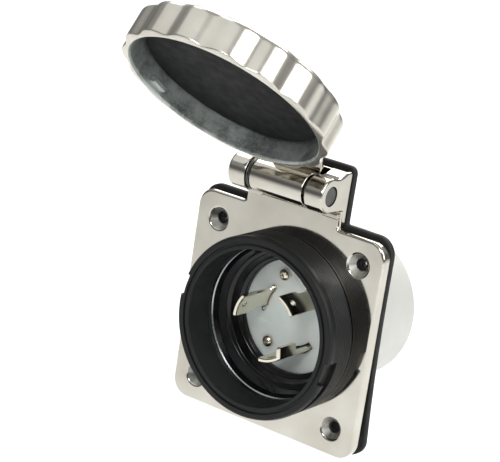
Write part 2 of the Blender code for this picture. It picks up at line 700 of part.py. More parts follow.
def strap_path():
    """Middle line of the lid arm as (forward, down, normal) stations, measured from the pin."""
    along = (math.cos(ARM_LEAN), math.sin(ARM_LEAN))
    normal = (math.sin(ARM_LEAN), -math.cos(ARM_LEAN))
    start = [(BARREL_RADIUS - ARM_THICK / 2.0) * n for n in normal]
    middle = ARM_GAP + ARM_THICK / 2.0
    reach = (middle - start[0]) / along[0]
    corner = (middle, start[1] + reach * along[1])
    fillet = 6.0
    tangent = fillet * math.tan(0.25 * math.pi - 0.5 * ARM_LEAN)
    center = (middle - fillet, corner[1] + tangent)
    path = [(start[0] - 1.0 * along[0], start[1] - 1.0 * along[1], normal)]
    for i in range(6):
        angle = (ARM_LEAN - 0.5 * math.pi) * (1.0 - i / 5.0)
        n = (math.cos(angle), math.sin(angle))
        path.append((center[0] + fillet * n[0], center[1] + fillet * n[1], n))
    path.append((middle, HINGE_Z - 24.0, (1.0, 0.0)))
    for i in range(7):
        path.append((middle, HINGE_Z + ARM_END * math.sin(math.radians(13.0 * i)), (1.0, 0.0)))
    return path


def build_arm(mats):
    """Barrel and the bent strap that carries the cap; modelled closed, turned open."""
    path = strap_path()
    center = (BARREL[0] + BARREL[1]) / 2.0
    rings = []
    for index, (forward, down, normal) in enumerate(path):
        half = (BARREL[1] - BARREL[0]) / 2.0 - 0.01
        middle = center
        if index >= len(path) - 7:
            half = max(1.2, ARM_END * math.cos(math.radians(13.0 * (index - len(path) + 7))))
            middle = 0.0
        t = ARM_THICK / 2.0
        inner = (forward - t * normal[0], down - t * normal[1])
        outer = (forward + t * normal[0], down + t * normal[1])
        rings.append([(middle - half, -inner[0], -inner[1]), (middle + half, -inner[0], -inner[1]),
                      (middle + half, -outer[0], -outer[1]), (middle - half, -outer[0], -outer[1])])
    bm = bmesh.new()
    add_x_rod(bm, [(BARREL[0], BARREL_RADIUS - 0.4), (BARREL[0] + 0.4, BARREL_RADIUS),
                   (BARREL[1] - 0.4, BARREL_RADIUS), (BARREL[1], BARREL_RADIUS - 0.4)], 36)
    arm = add_object("lid_arm", bm, mats["polished_steel"], (0.0, HINGE_Y, HINGE_Z), -OPEN_ANGLE)
    bm = bmesh.new()
    add_loft(bm, rings)
    boolean(arm, "fill_strap", bm, "UNION")
    bm = bmesh.new()
    add_x_rod(bm, [(-26.0, PIN_HOLE), (26.0, PIN_HOLE)], 24)
    boolean(arm, "cut_barrel_bore", bm, "DIFFERENCE")
    bm = bmesh.new()
    add_disc_stack(bm, [(PIVOT_HOLE, -ARM_GAP - ARM_THICK - REACH), (PIVOT_HOLE, -ARM_GAP + REACH)], 24,
                   (0.0, -HINGE_Z))
    boolean(arm, "cut_pivot_hole", bm, "DIFFERENCE")


def cap_center():
    """Point of the cap axis that is at hinge height while the lid is closed, with the lid open."""
    swing = Matrix.Rotation(-OPEN_ANGLE, 3, "X")
    return Vector((0.0, HINGE_Y, HINGE_Z)) + swing @ Vector((0.0, 0.0, -HINGE_Z))


def scallop(angle):
    """1 on a lobe crest, 0 in the bottom of a groove."""
    wave = 0.5 + 0.5 * math.cos(CAP_LOBES * (angle - math.radians(14.0)))
    return 1.0 - wave ** 1.5


def build_cap(mats):
    """Scalloped cap shell with two bayonet lugs inside the mouth; y falls from mouth to back."""
    lobe = CAP_LOBE - CAP_GROOVE
    stations = [
        (CAP_BORE, 0.6), (CAP_BORE + 0.5, 0.0), (CAP_LIP, 0.0, 0.1 * lobe),
        (CAP_GROOVE, 0.6, 0.7 * lobe), (CAP_GROOVE, 1.6, lobe), (CAP_GROOVE, 12.4, lobe),
        (CAP_GROOVE - 0.9, 14.4, 0.8 * lobe), (CAP_GROOVE - 3.0, CAP_HEIGHT, 0.4 * lobe),
        (33.0, CAP_HEIGHT), (PIVOT_HOLE, CAP_HEIGHT), (PIVOT_HOLE, CAP_HEIGHT - CAP_WALL_BACK),
        (CAP_BORE, CAP_HEIGHT - CAP_WALL_BACK)]
    profile = [(p[0], MOUTH - p[1]) + tuple(p[2:]) for p in stations]
    bm = bmesh.new()
    add_revolve(bm, profile, 96, scallop)
    cap = add_object("cap", bm, mats["satin_steel"], cap_center(), -OPEN_ANGLE)
    bm = bmesh.new()
    for middle in NOTCH_ANGLES:
        add_sector(bm, LUG_RADIUS, CAP_BORE + 0.7, middle - LUG_HALF, middle + LUG_HALF,
                   MOUTH - 4.4, MOUTH - 2.2, 4)
    boolean(cap, "fill_lugs", bm, "UNION")

    bm = bmesh.new()
    face = MOUTH - SEAL_DEPTH
    add_disc_stack(bm, [(SEAL_RADIUS - 0.5, face), (SEAL_RADIUS, face - 0.5), (SEAL_RADIUS, face - 2.4),
                        (SEAL_RADIUS - 0.5, face - 2.8)], 48)
    add_object("cap_seal", bm, mats["seal_rubber"], cap_center(), -OPEN_ANGLE)


def build_pivot(mats):
    """Rivet, spacer and retaining clip that let the cap turn on the arm."""
    back = MOUTH - CAP_HEIGHT
    head = -ARM_GAP - ARM_THICK - GAP
    bm = bmesh.new()
    add_disc_stack(bm, [
        (2.2, head - 2.1), (4.4, head - 1.5), (5.6, head - 0.4), (5.6, head), (3.0, head),
        (3.0, back + CAP_WALL_BACK + 1.9), (2.6, back + CAP_WALL_BACK + 2.2)], 24)
    add_object("pivot_rivet", bm, mats["polished_steel"], cap_center(), -OPEN_ANGLE)

    bm = bmesh.new()
    add_revolve(bm, [(3.4, back - GAP), (8.0, back - GAP), (8.0, -ARM_GAP + GAP), (3.4, -ARM_GAP + GAP)], 24)
    add_object("pivot_washer", bm, mats["spring_steel"], cap_center(), -OPEN_ANGLE)

    bm = bmesh.new()
    add_revolve(bm, [(3.3, back + CAP_WALL_BACK + 0.35), (6.4, back + CAP_WALL_BACK + 0.35),
                     (6.4, back + CAP_WALL_BACK + 1.25), (3.3, back + CAP_WALL_BACK + 1.25)], 24)
    add_object("pivot_clip", bm, mats["spring_steel"], cap_center(), -OPEN_ANGLE)


# ---- run -----------------------------------------------------------------------------------
def main():
    for obj in list(bpy.data.objects):
        bpy.data.objects.remove(obj, do_unlink=True)
    mats = make_materials()
    for build in (build_flange, build_gasket, build_collar, build_insulator, build_seal_ring, build_carrier,
                  build_blades, build_face_screws, build_terminals, build_cover, build_cable_clamp, build_pin,
                  build_arm, build_cap, build_pivot):
        build(mats)


main()
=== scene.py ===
import json
import math

import bmesh
import bpy
from mathutils import Matrix, Vector


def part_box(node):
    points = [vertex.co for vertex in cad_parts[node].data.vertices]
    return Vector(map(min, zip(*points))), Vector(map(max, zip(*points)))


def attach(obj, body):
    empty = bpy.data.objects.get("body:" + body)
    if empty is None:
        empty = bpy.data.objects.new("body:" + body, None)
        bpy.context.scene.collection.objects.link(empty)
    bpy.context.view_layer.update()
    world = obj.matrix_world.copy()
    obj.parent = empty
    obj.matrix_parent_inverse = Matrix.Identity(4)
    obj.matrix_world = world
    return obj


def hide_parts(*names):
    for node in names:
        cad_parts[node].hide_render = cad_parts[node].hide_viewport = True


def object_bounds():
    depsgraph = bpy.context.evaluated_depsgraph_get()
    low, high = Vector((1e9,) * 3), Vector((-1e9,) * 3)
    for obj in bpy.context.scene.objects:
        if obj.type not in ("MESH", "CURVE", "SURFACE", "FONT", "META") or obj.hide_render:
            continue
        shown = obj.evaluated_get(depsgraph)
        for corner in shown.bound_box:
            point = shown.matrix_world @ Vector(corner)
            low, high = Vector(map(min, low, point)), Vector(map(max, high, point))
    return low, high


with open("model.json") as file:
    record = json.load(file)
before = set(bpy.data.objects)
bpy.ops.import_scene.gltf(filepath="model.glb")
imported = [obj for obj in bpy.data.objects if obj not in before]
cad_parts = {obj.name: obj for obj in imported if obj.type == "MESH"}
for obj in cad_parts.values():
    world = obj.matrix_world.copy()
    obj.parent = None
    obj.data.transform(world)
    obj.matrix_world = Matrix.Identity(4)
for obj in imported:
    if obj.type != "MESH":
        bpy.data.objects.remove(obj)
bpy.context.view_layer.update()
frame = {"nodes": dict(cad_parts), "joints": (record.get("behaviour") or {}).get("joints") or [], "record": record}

# The object's lengths are millimetres, and its meshes are scaled to metres when they are made.
# The floor, the lights, the camera's place and the lengths in the materials are metres.
MM = 0.001
GAP = 0.3  # clearance kept wherever two parts meet
REACH = 3.0  # how far a cutting tool stands past the surface it cuts
SKIN = 0.02  # overlap that keeps two flush faces from coinciding


def node_box(name):
    low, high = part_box(name)
    return low / MM, high / MM


# ---- driving sizes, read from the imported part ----
JOINTS = {joint["name"]: joint for joint in frame["joints"]}
HINGE = Vector(JOINTS["lid_hinge"]["pos_m"]) / MM
CAP_CENTER = Vector(JOINTS["cap_twist"]["pos_m"]) / MM
CAP_AXIS = Vector(JOINTS["cap_twist"]["axis"])
OPEN_TURN = math.atan2(CAP_AXIS.z, CAP_AXIS.y)  # rotation about X from closed to open
HINGE_DROP = (CAP_CENTER - HINGE).length  # closed: hinge axis above the cap axis
COLLAR_LOW, COLLAR_HIGH = node_box("threaded_collar")
FLANGE_LOW, FLANGE_HIGH = node_box("flange")
CARRIER_LOW, CARRIER_HIGH = node_box("blade_carrier")
BLADE_LOW, BLADE_HIGH = node_box("blade_hot")
COVER_LOW, COVER_HIGH = node_box("rear_cover")
GASKET_LOW, GASKET_HIGH = node_box("flange_gasket")
BODY_RIM = node_box("insulator_body")[1].x
PIN_LOW, PIN_HIGH = node_box("hinge_pin")

FACE = COLLAR_HIGH.y + GAP  # front face of the flange
BACK = FACE + 4.5  # rear face of the flange
HALF = FLANGE_HIGH.x  # half the side of the flange
CORNER = 7.5
EDGE_ROUND = 1.2
HOLE_PITCH = 69.3
HOLE_RADIUS = 2.4
SINK_RADIUS = 4.75
SINK_DEPTH = 2.9
HOLE_CENTERS = [(x * HOLE_PITCH, z * HOLE_PITCH) for x in (-0.5, 0.5) for z in (-0.5, 0.5)]
TAB_HALF = 22.5
TAB_TOP = 51.9
RELIEF_HALF = 14.5
RELIEF_TOP = 50.7
RELIEF_FOOT = 46.4
MARK_ROUND = 0.7
BRACKET_HALF = 23.0
BRACKET_TOP = FLANGE_HIGH.z
BRACKET_FOOT = 43.0
BRACKET_FRONT = FACE + 0.8
KNUCKLE_RADIUS = HINGE.y - FLANGE_LOW.y
KNUCKLES = ((-23.0, -14.4), (14.8, 23.0))
CHEEK_ROUNDS = ((1.9, 1.6, 0.45), (1.0, 0.45, 0.9))  # top corner, left edge and right edge of each
PIN_HOLE = 4.1

COLLAR_FRONT = COLLAR_LOW.y
COLLAR_RADIUS = COLLAR_HIGH.x
COLLAR_BORE = 32.3
COLLAR_SEAT = 34.5
NECK_FRONT = FACE - 1.5
NOTCH_FLOOR = 36.2
NOTCHES = (167.5, -12.5)
NOTCH_HALF = 7.5
LUG_HALF = 5.5
LUG_RADIUS = 36.8
LUG_TRAVEL = 62.0
CHANNEL = (FACE - 12.7, FACE - 8.8)
BODY_HOLE = 34.7
GASKET_HOLE = 41.2
GASKET_CURL = 4.6  # how far its lower right corner hangs back
PILOT_HOLE = 1.1
HIGHLIGHT_RING = (31.86, 32.29)  # radii of the chamfer ring at the mouth of the bore that is coloured pale metal as a painted highlight

CARRIER_FACE = CARRIER_LOW.y
BLADE_RADIUS = 14.7
BLADE_THICK = 1.7
BLADE_TIP = BLADE_LOW.y
BLADE_TAIL = BLADE_HIGH.y
BLADE_HEAD = 11.0
HOT = (162.0, 20.0)
NEUTRAL = (50.5, 19.0)
GROUND = (-68.0, 21.5)
FACE_SCREWS = (114.0, -126.0, -6.0)
FACE_SCREW_CIRCLE = 17.6

COVER_RADIUS = COVER_HIGH.x
COVER_END = COVER_HIGH.y - 13.0  # rear face of the end wall; the clamp stands 13 behind it
LONG_SCREWS = (90.0, -90.0)
LONG_SCREW_CIRCLE = 28.4
SADDLE_HALF = 15.0
CABLE_BORE = 9.3
CLAMP_BORE = 6.4
CLAMP_SCREW_X = 12.0
CLAMP_SCREW_Y = COVER_END + 6.5

CAP_BORE = 39.5
CAP_LIP = 41.0
CAP_GROOVE = 41.7
CAP_LOBE = 43.4
CAP_LOBES = 16
CAP_HEIGHT = 15.5
CAP_WALL = 2.0
CAP_LUG = (4.4, 2.2)  # depths below the mouth between which a lug stands
LOBE_END = 11.8  # depth where the lobes begin to fade towards the back
BACK_START = 12.6  # depth where the rounding of the back edge begins
BACK_ROUND = 2.9
MOUTH = 1.75
SEAL_DEPTH = 8.2
SEAL_RADIUS = 37.2
ARM_THICK = 2.0
ARM_GAP = 15.2
ARM_END = 11.5
ARM_LEAN = math.radians(38.2)
BARREL = (-12.1, 13.2)
BARREL_RADIUS = 6.9
PIVOT_HOLE = 3.3
WAVE_PLACE = -12.8  # x of the wave washer, between the left cheek and the barrel

CAMERA_TARGET = Vector((-0.01837, FACE * MM, 0.03381))
CAMERA_DISTANCE = 0.75503  # metres
CAMERA_TURN = (33.782, 15.559, 8.711)  # azimuth, elevation and roll in degrees
CAMERA_SENSOR = 36.0
CAMERA_LENS = 132.96816
FLOOR_DROP = 0.11  # metres between the object's lowest point and the floor
FLOOR_RADIUS = 6.0


# ---- material helpers ----
class Nodes:
    """Short hand for building a node material."""

    def __init__(self, name, **values):
        self.mat = bpy.data.materials.new(name)
        self.mat.use_nodes = True
        self.tree = self.mat.node_tree
        self.shader = self.tree.nodes["Principled BSDF"]
        self.place = self.add("ShaderNodeTexCoord").outputs["Object"]
        for key, value in values.items():
            self.shader.inputs[key.replace("_", " ")].default_value = value

    def add(self, kind, **values):
        node = self.tree.nodes.new(kind)
        for key, value in values.items():
            if key in node.inputs:
                node.inputs[key].default_value = value
            else:
                setattr(node, key, value)
        return node

    def link(self, source, target):
        self.tree.links.new(source, target)

    def noise(self, scale, detail=4.0, rough=0.5):
        node = self.add("ShaderNodeTexNoise", Scale=scale, Detail=detail, Roughness=rough)
        self.link(self.place, node.inputs["Vector"])
        return node.outputs["Fac"]

    def spread(self, source, low, high, start=0.3, stop=0.7):
        node = self.add("ShaderNodeMapRange")
        self.link(source, node.inputs["Value"])
        for key, value in (("From Min", start), ("From Max", stop), ("To Min", low), ("To Max", high)):
            node.inputs[key].default_value = value
        return node.outputs["Result"]

    def blend(self, factor, first, second):
        node = self.add("ShaderNodeMix", data_type="RGBA")
        self.link(factor, node.inputs["Factor"])
        for slot, value in ((6, first), (7, second)):
            if isinstance(value, tuple):
                node.inputs[slot].default_value = (*value, 1.0)
            else:
                self.link(value, node.inputs[slot])
        return node.outputs[2]

    def bump(self, height, strength, distance, below=None):
        node = self.add("ShaderNodeBump", Strength=strength, Distance=distance)
        self.link(height, node.inputs["Height"])
        if below is not None:
            self.link(below, node.inputs["Normal"])
        return node.outputs["Normal"]

    def use(self, key, source):
        self.link(source, self.shader.inputs[key])

    def add_haze(self, share, color, normal, roughness=0.45):
        """Mix in a wide metallic reflection beside the sharp one."""
        wide = self.add("ShaderNodeBsdfPrincipled", Metallic=1.0, Roughness=roughness)
        self.link(color, wide.inputs["Base Color"])
        self.link(normal, wide.inputs["Normal"])
        mix = self.add("ShaderNodeMixShader")
        mix.inputs["Fac"].default_value = share
        output = self.tree.nodes["Material Output"]
        self.link(self.shader.outputs["BSDF"], mix.inputs[1])
        self.link(wide.outputs["BSDF"], mix.inputs[2])
        self.link(mix.outputs["Shader"], output.inputs["Surface"])


def steel(name, color, dark, rough, speckle=0.0, haze=0.0):
    """Metal with faint cloudy tarnish and a soft ripple.

    speckle adds fine pores, and haze is the share of the light that the worn polish scatters widely
    instead of mirroring.
    """
    n = Nodes(name, Metallic=1.0)
    tint = n.blend(n.spread(n.noise(45.0, 6.0), 0.0, 1.0), color, dark)
    ripple = n.bump(n.noise(70.0, 2.0), 0.10, 0.0004)
    surface = ripple
    if speckle > 0.0:
        surface = n.bump(n.noise(1800.0, 2.0, 0.5), speckle, 0.00008, ripple)
    n.use("Base Color", tint)
    n.use("Roughness", n.spread(n.noise(260.0, 5.0, 0.6), rough[0], rough[1]))
    n.use("Normal", surface)
    if haze > 0.0:
        n.add_haze(haze, tint, surface)
    return n.mat


def blasted_steel():
    """Grey, grainy inside of the cap, with dull cloudy stains."""
    n = Nodes("blasted_steel", Metallic=0.75)
    cloud = n.noise(70.0, 8.0, 0.65)
    grain = n.noise(900.0, 4.0, 0.7)
    color = n.blend(n.spread(cloud, 0.0, 1.0, 0.42, 0.62), (0.17, 0.19, 0.18), (0.46, 0.49, 0.475))
    color = n.blend(n.spread(grain, 0.0, 0.7, 0.5, 0.75), color, (0.52, 0.55, 0.55))
    n.use("Base Color", color)
    n.use("Roughness", n.spread(cloud, 0.42, 0.60))
    n.use("Normal", n.bump(grain, 0.35, 0.00025, n.bump(cloud, 0.2, 0.0004)))
    return n.mat


def plastic(name, color, dark, rough, grain=0.05, scale=900.0, **values):
    """Moulded plastic or rubber with a fine skin texture and slightly uneven gloss."""
    n = Nodes(name, **values)
    n.use("Base Color", n.blend(n.spread(n.noise(60.0, 5.0), 0.0, 1.0), color, dark))
    n.use("Roughness", n.spread(n.noise(220.0, 4.0), rough[0], rough[1]))
    n.use("Normal", n.bump(n.noise(scale, 3.0, 0.6), grain, 0.0002))
    return n.mat


def nylon(name, color, dark, rough):
    """Milky translucent moulding: light spreads a few millimetres under the surface."""
    n = Nodes(name, Subsurface_Weight=0.7, Subsurface_Scale=0.004)
    n.shader.inputs["Subsurface Radius"].default_value = (0.8, 1.0, 1.0)
    n.use("Base Color", n.blend(n.spread(n.noise(90.0, 4.0), 0.0, 1.0), color, dark))
    n.use("Roughness", n.spread(n.noise(400.0, 3.0), rough[0], rough[1]))
    n.use("Normal", n.bump(n.noise(500.0, 3.0), 0.03, 0.0002))
    return n.mat


def make_materials():
    return {
        "polished_steel": steel(
            "polished_steel", (0.60, 0.58, 0.53), (0.47, 0.445, 0.385), (0.05, 0.10)),
        "satin_steel": steel(
            "satin_steel", (0.64, 0.62, 0.56), (0.50, 0.475, 0.415), (0.16, 0.22), haze=0.30),
        "dull_steel": steel("dull_steel", (0.42, 0.42, 0.39), (0.30, 0.30, 0.275), (0.34, 0.48), 0.12),
        "pin_steel": steel("pin_steel", (0.16, 0.16, 0.155), (0.10, 0.10, 0.10), (0.40, 0.55), 0.2),
        "spring_steel": steel("spring_steel", (0.20, 0.20, 0.19), (0.08, 0.08, 0.075), (0.25, 0.40), 0.1),
        "nickel_plate": steel("nickel_plate", (0.76, 0.72, 0.61), (0.66, 0.62, 0.50), (0.10, 0.20)),
        "brass": steel("brass", (0.62, 0.43, 0.17), (0.50, 0.33, 0.12), (0.22, 0.36), 0.1),
        "blasted_steel": blasted_steel(),
        "black_plastic": plastic(
            "black_plastic", (0.006, 0.0065, 0.007), (0.010, 0.0105, 0.011), (0.34, 0.46),
            0.012, 500.0, Specular_IOR_Level=0.25),
        "gloss_black_plastic": plastic(
            "gloss_black_plastic", (0.004, 0.004, 0.005), (0.006, 0.006, 0.007), (0.10, 0.18), 0.02,
            Specular_IOR_Level=0.35),
        # painted highlight: pale grey metal standing in for the bright line of light that the chamfer at the mouth
        # of the black bore reflects
        "painted_highlight_edge": steel("painted_highlight_edge", (0.42, 0.44, 0.45), (0.16, 0.17, 0.175), (0.18, 0.30)),
        "black_rubber": plastic(
            "black_rubber", (0.010, 0.010, 0.010), (0.018, 0.018, 0.018), (0.55, 0.75), 0.15, 600.0,
            Specular_IOR_Level=0.3),
        "seal_rubber": plastic(
            "seal_rubber", (0.005, 0.0055, 0.006), (0.008, 0.0085, 0.0085), (0.50, 0.65), 0.06, 700.0,
            Specular_IOR_Level=0.08),
        "milky_nylon": nylon("milky_nylon", (0.87, 0.93, 0.89), (0.79, 0.88, 0.85), (0.30, 0.42)),
        "white_plastic": plastic("white_plastic", (0.58, 0.58, 0.55), (0.54, 0.54, 0.51), (0.40, 0.52)),
        "grey_nylon": plastic("grey_nylon", (0.30, 0.31, 0.32), (0.24, 0.25, 0.26), (0.45, 0.60)),
    }


# ---- mesh helpers ----
def polar(radius, degrees):
    return radius * math.cos(math.radians(degrees)), radius * math.sin(math.radians(degrees))


def circle(radius, segments):
    step = 2.0 * math.pi / segments
    return [(radius * math.cos(step * i), radius * math.sin(step * i)) for i in range(segments)]


def arc_points(center, radius, start, end, steps):
    points = []
    for i in range(steps + 1):
        angle = math.radians(start + (end - start) * i / steps)
        points.append((center[0] + radius * math.cos(angle), center[1] + radius * math.sin(angle)))
    return points


def rounded(corners, steps=4, closed=True):
    """Outline through corners (u, v, radius) with each corner replaced by an arc."""
    points = []
    count = len(corners)
    for i, (u, v, radius) in enumerate(corners):
        if radius <= 0.0 or (not closed and i in (0, count - 1)):
            points.append((u, v))
            continue
        here = Vector((u, v))
        before = Vector(corners[i - 1][:2]) - here
        after = Vector(corners[(i + 1) % count][:2]) - here
        a, b = before.normalized(), after.normalized()
        half = 0.5 * math.acos(max(-1.0, min(1.0, a.dot(b))))
        reach = min(radius / math.tan(half), 0.49 * before.length, 0.49 * after.length)
        center = here + (a + b).normalized() * (reach / math.cos(half))
        start, stop = here + a * reach - center, here + b * reach - center
        first = math.atan2(start.y, start.x)
        turn = (math.atan2(stop.y, stop.x) - first + math.pi) % (2.0 * math.pi) - math.pi
        for k in range(steps + 1):
            angle = first + turn * k / steps
            points.append((center.x + start.length * math.cos(angle),
                           center.y + start.length * math.sin(angle)))
    return points


def without_repeats(outline):
    """Drop points that lie on the one before them."""
    return [p for i, p in enumerate(outline) if math.dist(p, outline[i - 1]) > 1e-5]


def inset(outline, amount):
    """Move every edge of a counter-clockwise outline inwards by amount."""
    moved = []
    count = len(outline)
    for i in range(count):
        (ax, az), (bx, bz), (cx, cz) = outline[i - 1], outline[i], outline[(i + 1) % count]
        d1, d2 = (bx - ax, bz - az), (cx - bx, cz - bz)
        l1, l2 = math.hypot(*d1), math.hypot(*d2)
        n1, n2 = (-d1[1] / l1, d1[0] / l1), (-d2[1] / l2, d2[0] / l2)
        scale = amount / (1.0 + n1[0] * n2[0] + n1[1] * n2[1])
        moved.append((bx + (n1[0] + n2[0]) * scale, bz + (n1[1] + n2[1]) * scale))
    return moved


def add_loft(bm, rings, closed=False):
    """Skin equal-length rings; the two ends are capped unless the loft closes on itself."""
    rows = [[bm.verts.new(point) for point in ring] for ring in rings]
    count = len(rows[0])
    pairs = list(zip(rows[:-1], rows[1:]))
    if closed:
        pairs.append((rows[-1], rows[0]))
    for lower, upper in pairs:
        for i in range(count):
            j = (i + 1) % count
            bm.faces.new((lower[i], lower[j], upper[j], upper[i]))
    if not closed:
        bm.faces.new(rows[0][::-1])
        bm.faces.new(rows[-1])


def add_ring(bm, profile, segments, shift=None):
    """Turn a closed (radius, y) profile about the Y axis; shift(angle, r, y) gives a new radius."""
    rings = []
    for i in range(segments):
        angle = 2.0 * math.pi * i / segments
        ring = []
        for r, y in profile:
            r = shift(angle, r, y) if shift else r
            ring.append((r * math.cos(angle), y, r * math.sin(angle)))
        rings.append(ring)
    add_loft(bm, rings, closed=True)


def add_solid(bm, stations, segments, center=(0.0, 0.0)):
    """Solid of revolution about a Y-parallel axis through center (x, z), from (radius, y)."""
    add_loft(bm, [[(center[0] + u, y, center[1] + v) for u, v in circle(r, segments)]
                  for r, y in stations])


def add_x_solid(bm, stations, segments, axis=(0.0, 0.0)):
    """The same about an X-parallel axis through (y, z), from (radius, x)."""
    add_loft(bm, [[(x, axis[0] + u, axis[1] + v) for u, v in circle(r, segments)] for r, x in stations])


def add_z_solid(bm, stations, segments, center):
    """The same about a Z-parallel axis through (x, y), from (radius, z)."""
    add_loft(bm, [[(center[0] + u, center[1] + v, z) for u, v in circle(r, segments)]
                  for r, z in stations])


def add_radial_rod(bm, stations, angle, y, segments):
    """Rod pointing away from the Y axis, from (distance, radius) stations."""
    c, s = polar(1.0, angle)
    add_loft(bm, [[(c * d - s * u, y + v, s * d + c * u) for u, v in circle(r, segments)]
                  for d, r in stations])


def add_sector(bm, section, start, stop, steps):
    """Sweep a closed (radius, y) section between two angles about the Y axis."""
    rings = []
    for i in range(steps + 1):
        c, s = polar(1.0, start + (stop - start) * i / steps)
        rings.append([(r * c, y, r * s) for r, y in section])
    add_loft(bm, rings)


def round_levels(low, high, low_round, high_round, steps):
    """(place, inset) levels, from low to high, of a slab whose two edges are rounded."""
    turns = [0.5 * math.pi * i / steps for i in range(steps + 1)]
    levels = [(low + low_round * (1.0 - math.cos(a)), low_round * (1.0 - math.sin(a))) for a in turns]
    levels += [(high - high_round * (1.0 - math.sin(a)), high_round * (1.0 - math.cos(a))) for a in turns]
    return levels


def add_slab(bm, outline, low, high, low_round, high_round, steps=5, axis="Y"):
    """Slab of an outline between two planes across X or Y, with rounded edges.

    A rounded corner of the outline needs a larger radius than both edge roundings, or the slab
    crosses itself there and a boolean with it gives a wrong or empty mesh.
    """
    outline = without_repeats(outline)
    rings = []
    for place, amount in round_levels(low, high, low_round, high_round, steps):
        ring = inset(outline, amount) if amount > 1e-6 else outline
        if axis == "Y":
            rings.append([(u, place, v) for u, v in ring])
        else:
            rings.append([(place, u, v) for u, v in ring])
    add_loft(bm, rings)


def make_mesh(name, bm, sharp=32.0):
    bmesh.ops.remove_doubles(bm, verts=bm.verts, dist=1e-4)
    bmesh.ops.recalc_face_normals(bm, faces=bm.faces)
    bmesh.ops.scale(bm, vec=(MM, MM, MM), verts=bm.verts)
    mesh = bpy.data.meshes.new(name)
    bm.to_mesh(mesh)
    bm.free()
    mesh.shade_smooth()
    mesh.set_sharp_from_angle(angle=math.radians(sharp))
    return mesh


def make_object(name, bm, sharp=32.0):
    obj = bpy.data.objects.new(name, make_mesh(name, bm, sharp))
    bpy.context.scene.collection.objects.link(obj)
    return obj


def carve(obj, bm, operation="DIFFERENCE", sharp=32.0):
    """Apply one boolean with a throw-away tool mesh made in the same frame as obj."""
    tool = make_object("tool", bm)
    mod = obj.modifiers.new("carve", "BOOLEAN")
    mod.operation = operation
    mod.solver = "EXACT"
    mod.object = tool
    graph = bpy.context.evaluated_depsgraph_get()
    mesh = bpy.data.meshes.new_from_object(obj.evaluated_get(graph), depsgraph=graph)
    obj.modifiers.clear()
    old = obj.data
    obj.data = mesh
    bpy.data.meshes.remove(old)
    bpy.data.objects.remove(tool)
    bm = bmesh.new()
    bm.from_mesh(mesh)
    bmesh.ops.dissolve_degenerate(bm, edges=bm.edges, dist=2e-6)
    bm.to_mesh(mesh)
    bm.free()
    mesh.shade_smooth()
    mesh.set_sharp_from_angle(angle=math.radians(sharp))


def publish(obj, mats, slot, body, *nodes):
    """Give a finished piece its material, its body and the CAD nodes that it stands for."""
    obj.data.materials.clear()
    obj.data.materials.append(mats[slot])
    mod = obj.modifiers.new("normals", "WEIGHTED_NORMAL")
    mod.keep_sharp = True
    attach(obj, body)
    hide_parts(*nodes)


def unite_slab(obj, outline, low, high, low_round, high_round, steps, axis="Y"):
    """Fuse one rounded slab onto obj."""
    bm = bmesh.new()
    add_slab(bm, outline, low, high, low_round, high_round, steps, axis)
    carve(obj, bm, "UNION")


def paint(obj, material, test):
    """Give a second material to the faces whose centre, in millimetres, passes the test."""
    obj.data.materials.append(material)
    for face in obj.data.polygons:
        if test(face.center / MM):
            face.material_index = 1


def open_lid(obj):
    """Place a piece modelled closed, relative to the cap centre, where the open lid holds it."""
    obj.matrix_world = Matrix.Translation(CAP_CENTER * MM) @ Matrix.Rotation(OPEN_TURN, 4, "X")


# ---- flange, bracket and knuckles ----
def flange_outline():
    """Square with round corners and the hinge tab on top, counter-clockwise in (x, z)."""
    fillet, bend = 1.6, EDGE_ROUND + 0.7
    points = arc_points((HALF - CORNER, -HALF + CORNER), CORNER, -90, 0, 14)
    points += arc_points((HALF - CORNER, HALF - CORNER), CORNER, 0, 90, 14)
    points += arc_points((TAB_HALF + fillet, HALF + fillet), fillet, -90, -180, 6)
    points += arc_points((TAB_HALF - bend, RELIEF_TOP - bend), bend, 0, 90, 8)
    points += arc_points((-TAB_HALF + bend, RELIEF_TOP - bend), bend, 90, 180, 8)
    points += arc_points((-TAB_HALF - fillet, HALF + fillet), fillet, 0, -90, 6)
    points += arc_points((-HALF + CORNER, HALF - CORNER), CORNER, 90, 180, 14)
    points += arc_points((-HALF + CORNER, -HALF + CORNER), CORNER, 180, 270, 14)
    return points


def knuckle_outline(corner):
    """Side view (y, z) of one hinge cheek: bracket, web and round knuckle, counter-clockwise."""
    rear, front = BACK, BRACKET_FRONT
    low = HINGE.z - KNUCKLE_RADIUS
    points = [(rear, BRACKET_FOOT)] + arc_points((rear - corner, BRACKET_TOP - corner), corner, 0, 90, 5)
    start = (front + 0.3, BRACKET_TOP)
    end = polar(KNUCKLE_RADIUS, 75.0)
    end = (HINGE.y + end[0], HINGE.z + end[1])
    dip = (end[0] + 4.0, end[1] - 1.1)
    for i in range(11):
        s = i / 10.0
        weights = ((1.0 - s) ** 2, 2.0 * s * (1.0 - s), s * s)
        points.append(tuple(sum(w * p[k] for w, p in zip(weights, (start, dip, end))) for k in (0, 1)))
    points += arc_points((HINGE.y, HINGE.z), KNUCKLE_RADIUS, 80, 270, 40)
    points += [(front - 0.8, low)]
    points += arc_points((front - 0.8, low - 0.8), 0.8, 90, 0, 4)[1:]
    points += [(front, BRACKET_FOOT)]
    return points


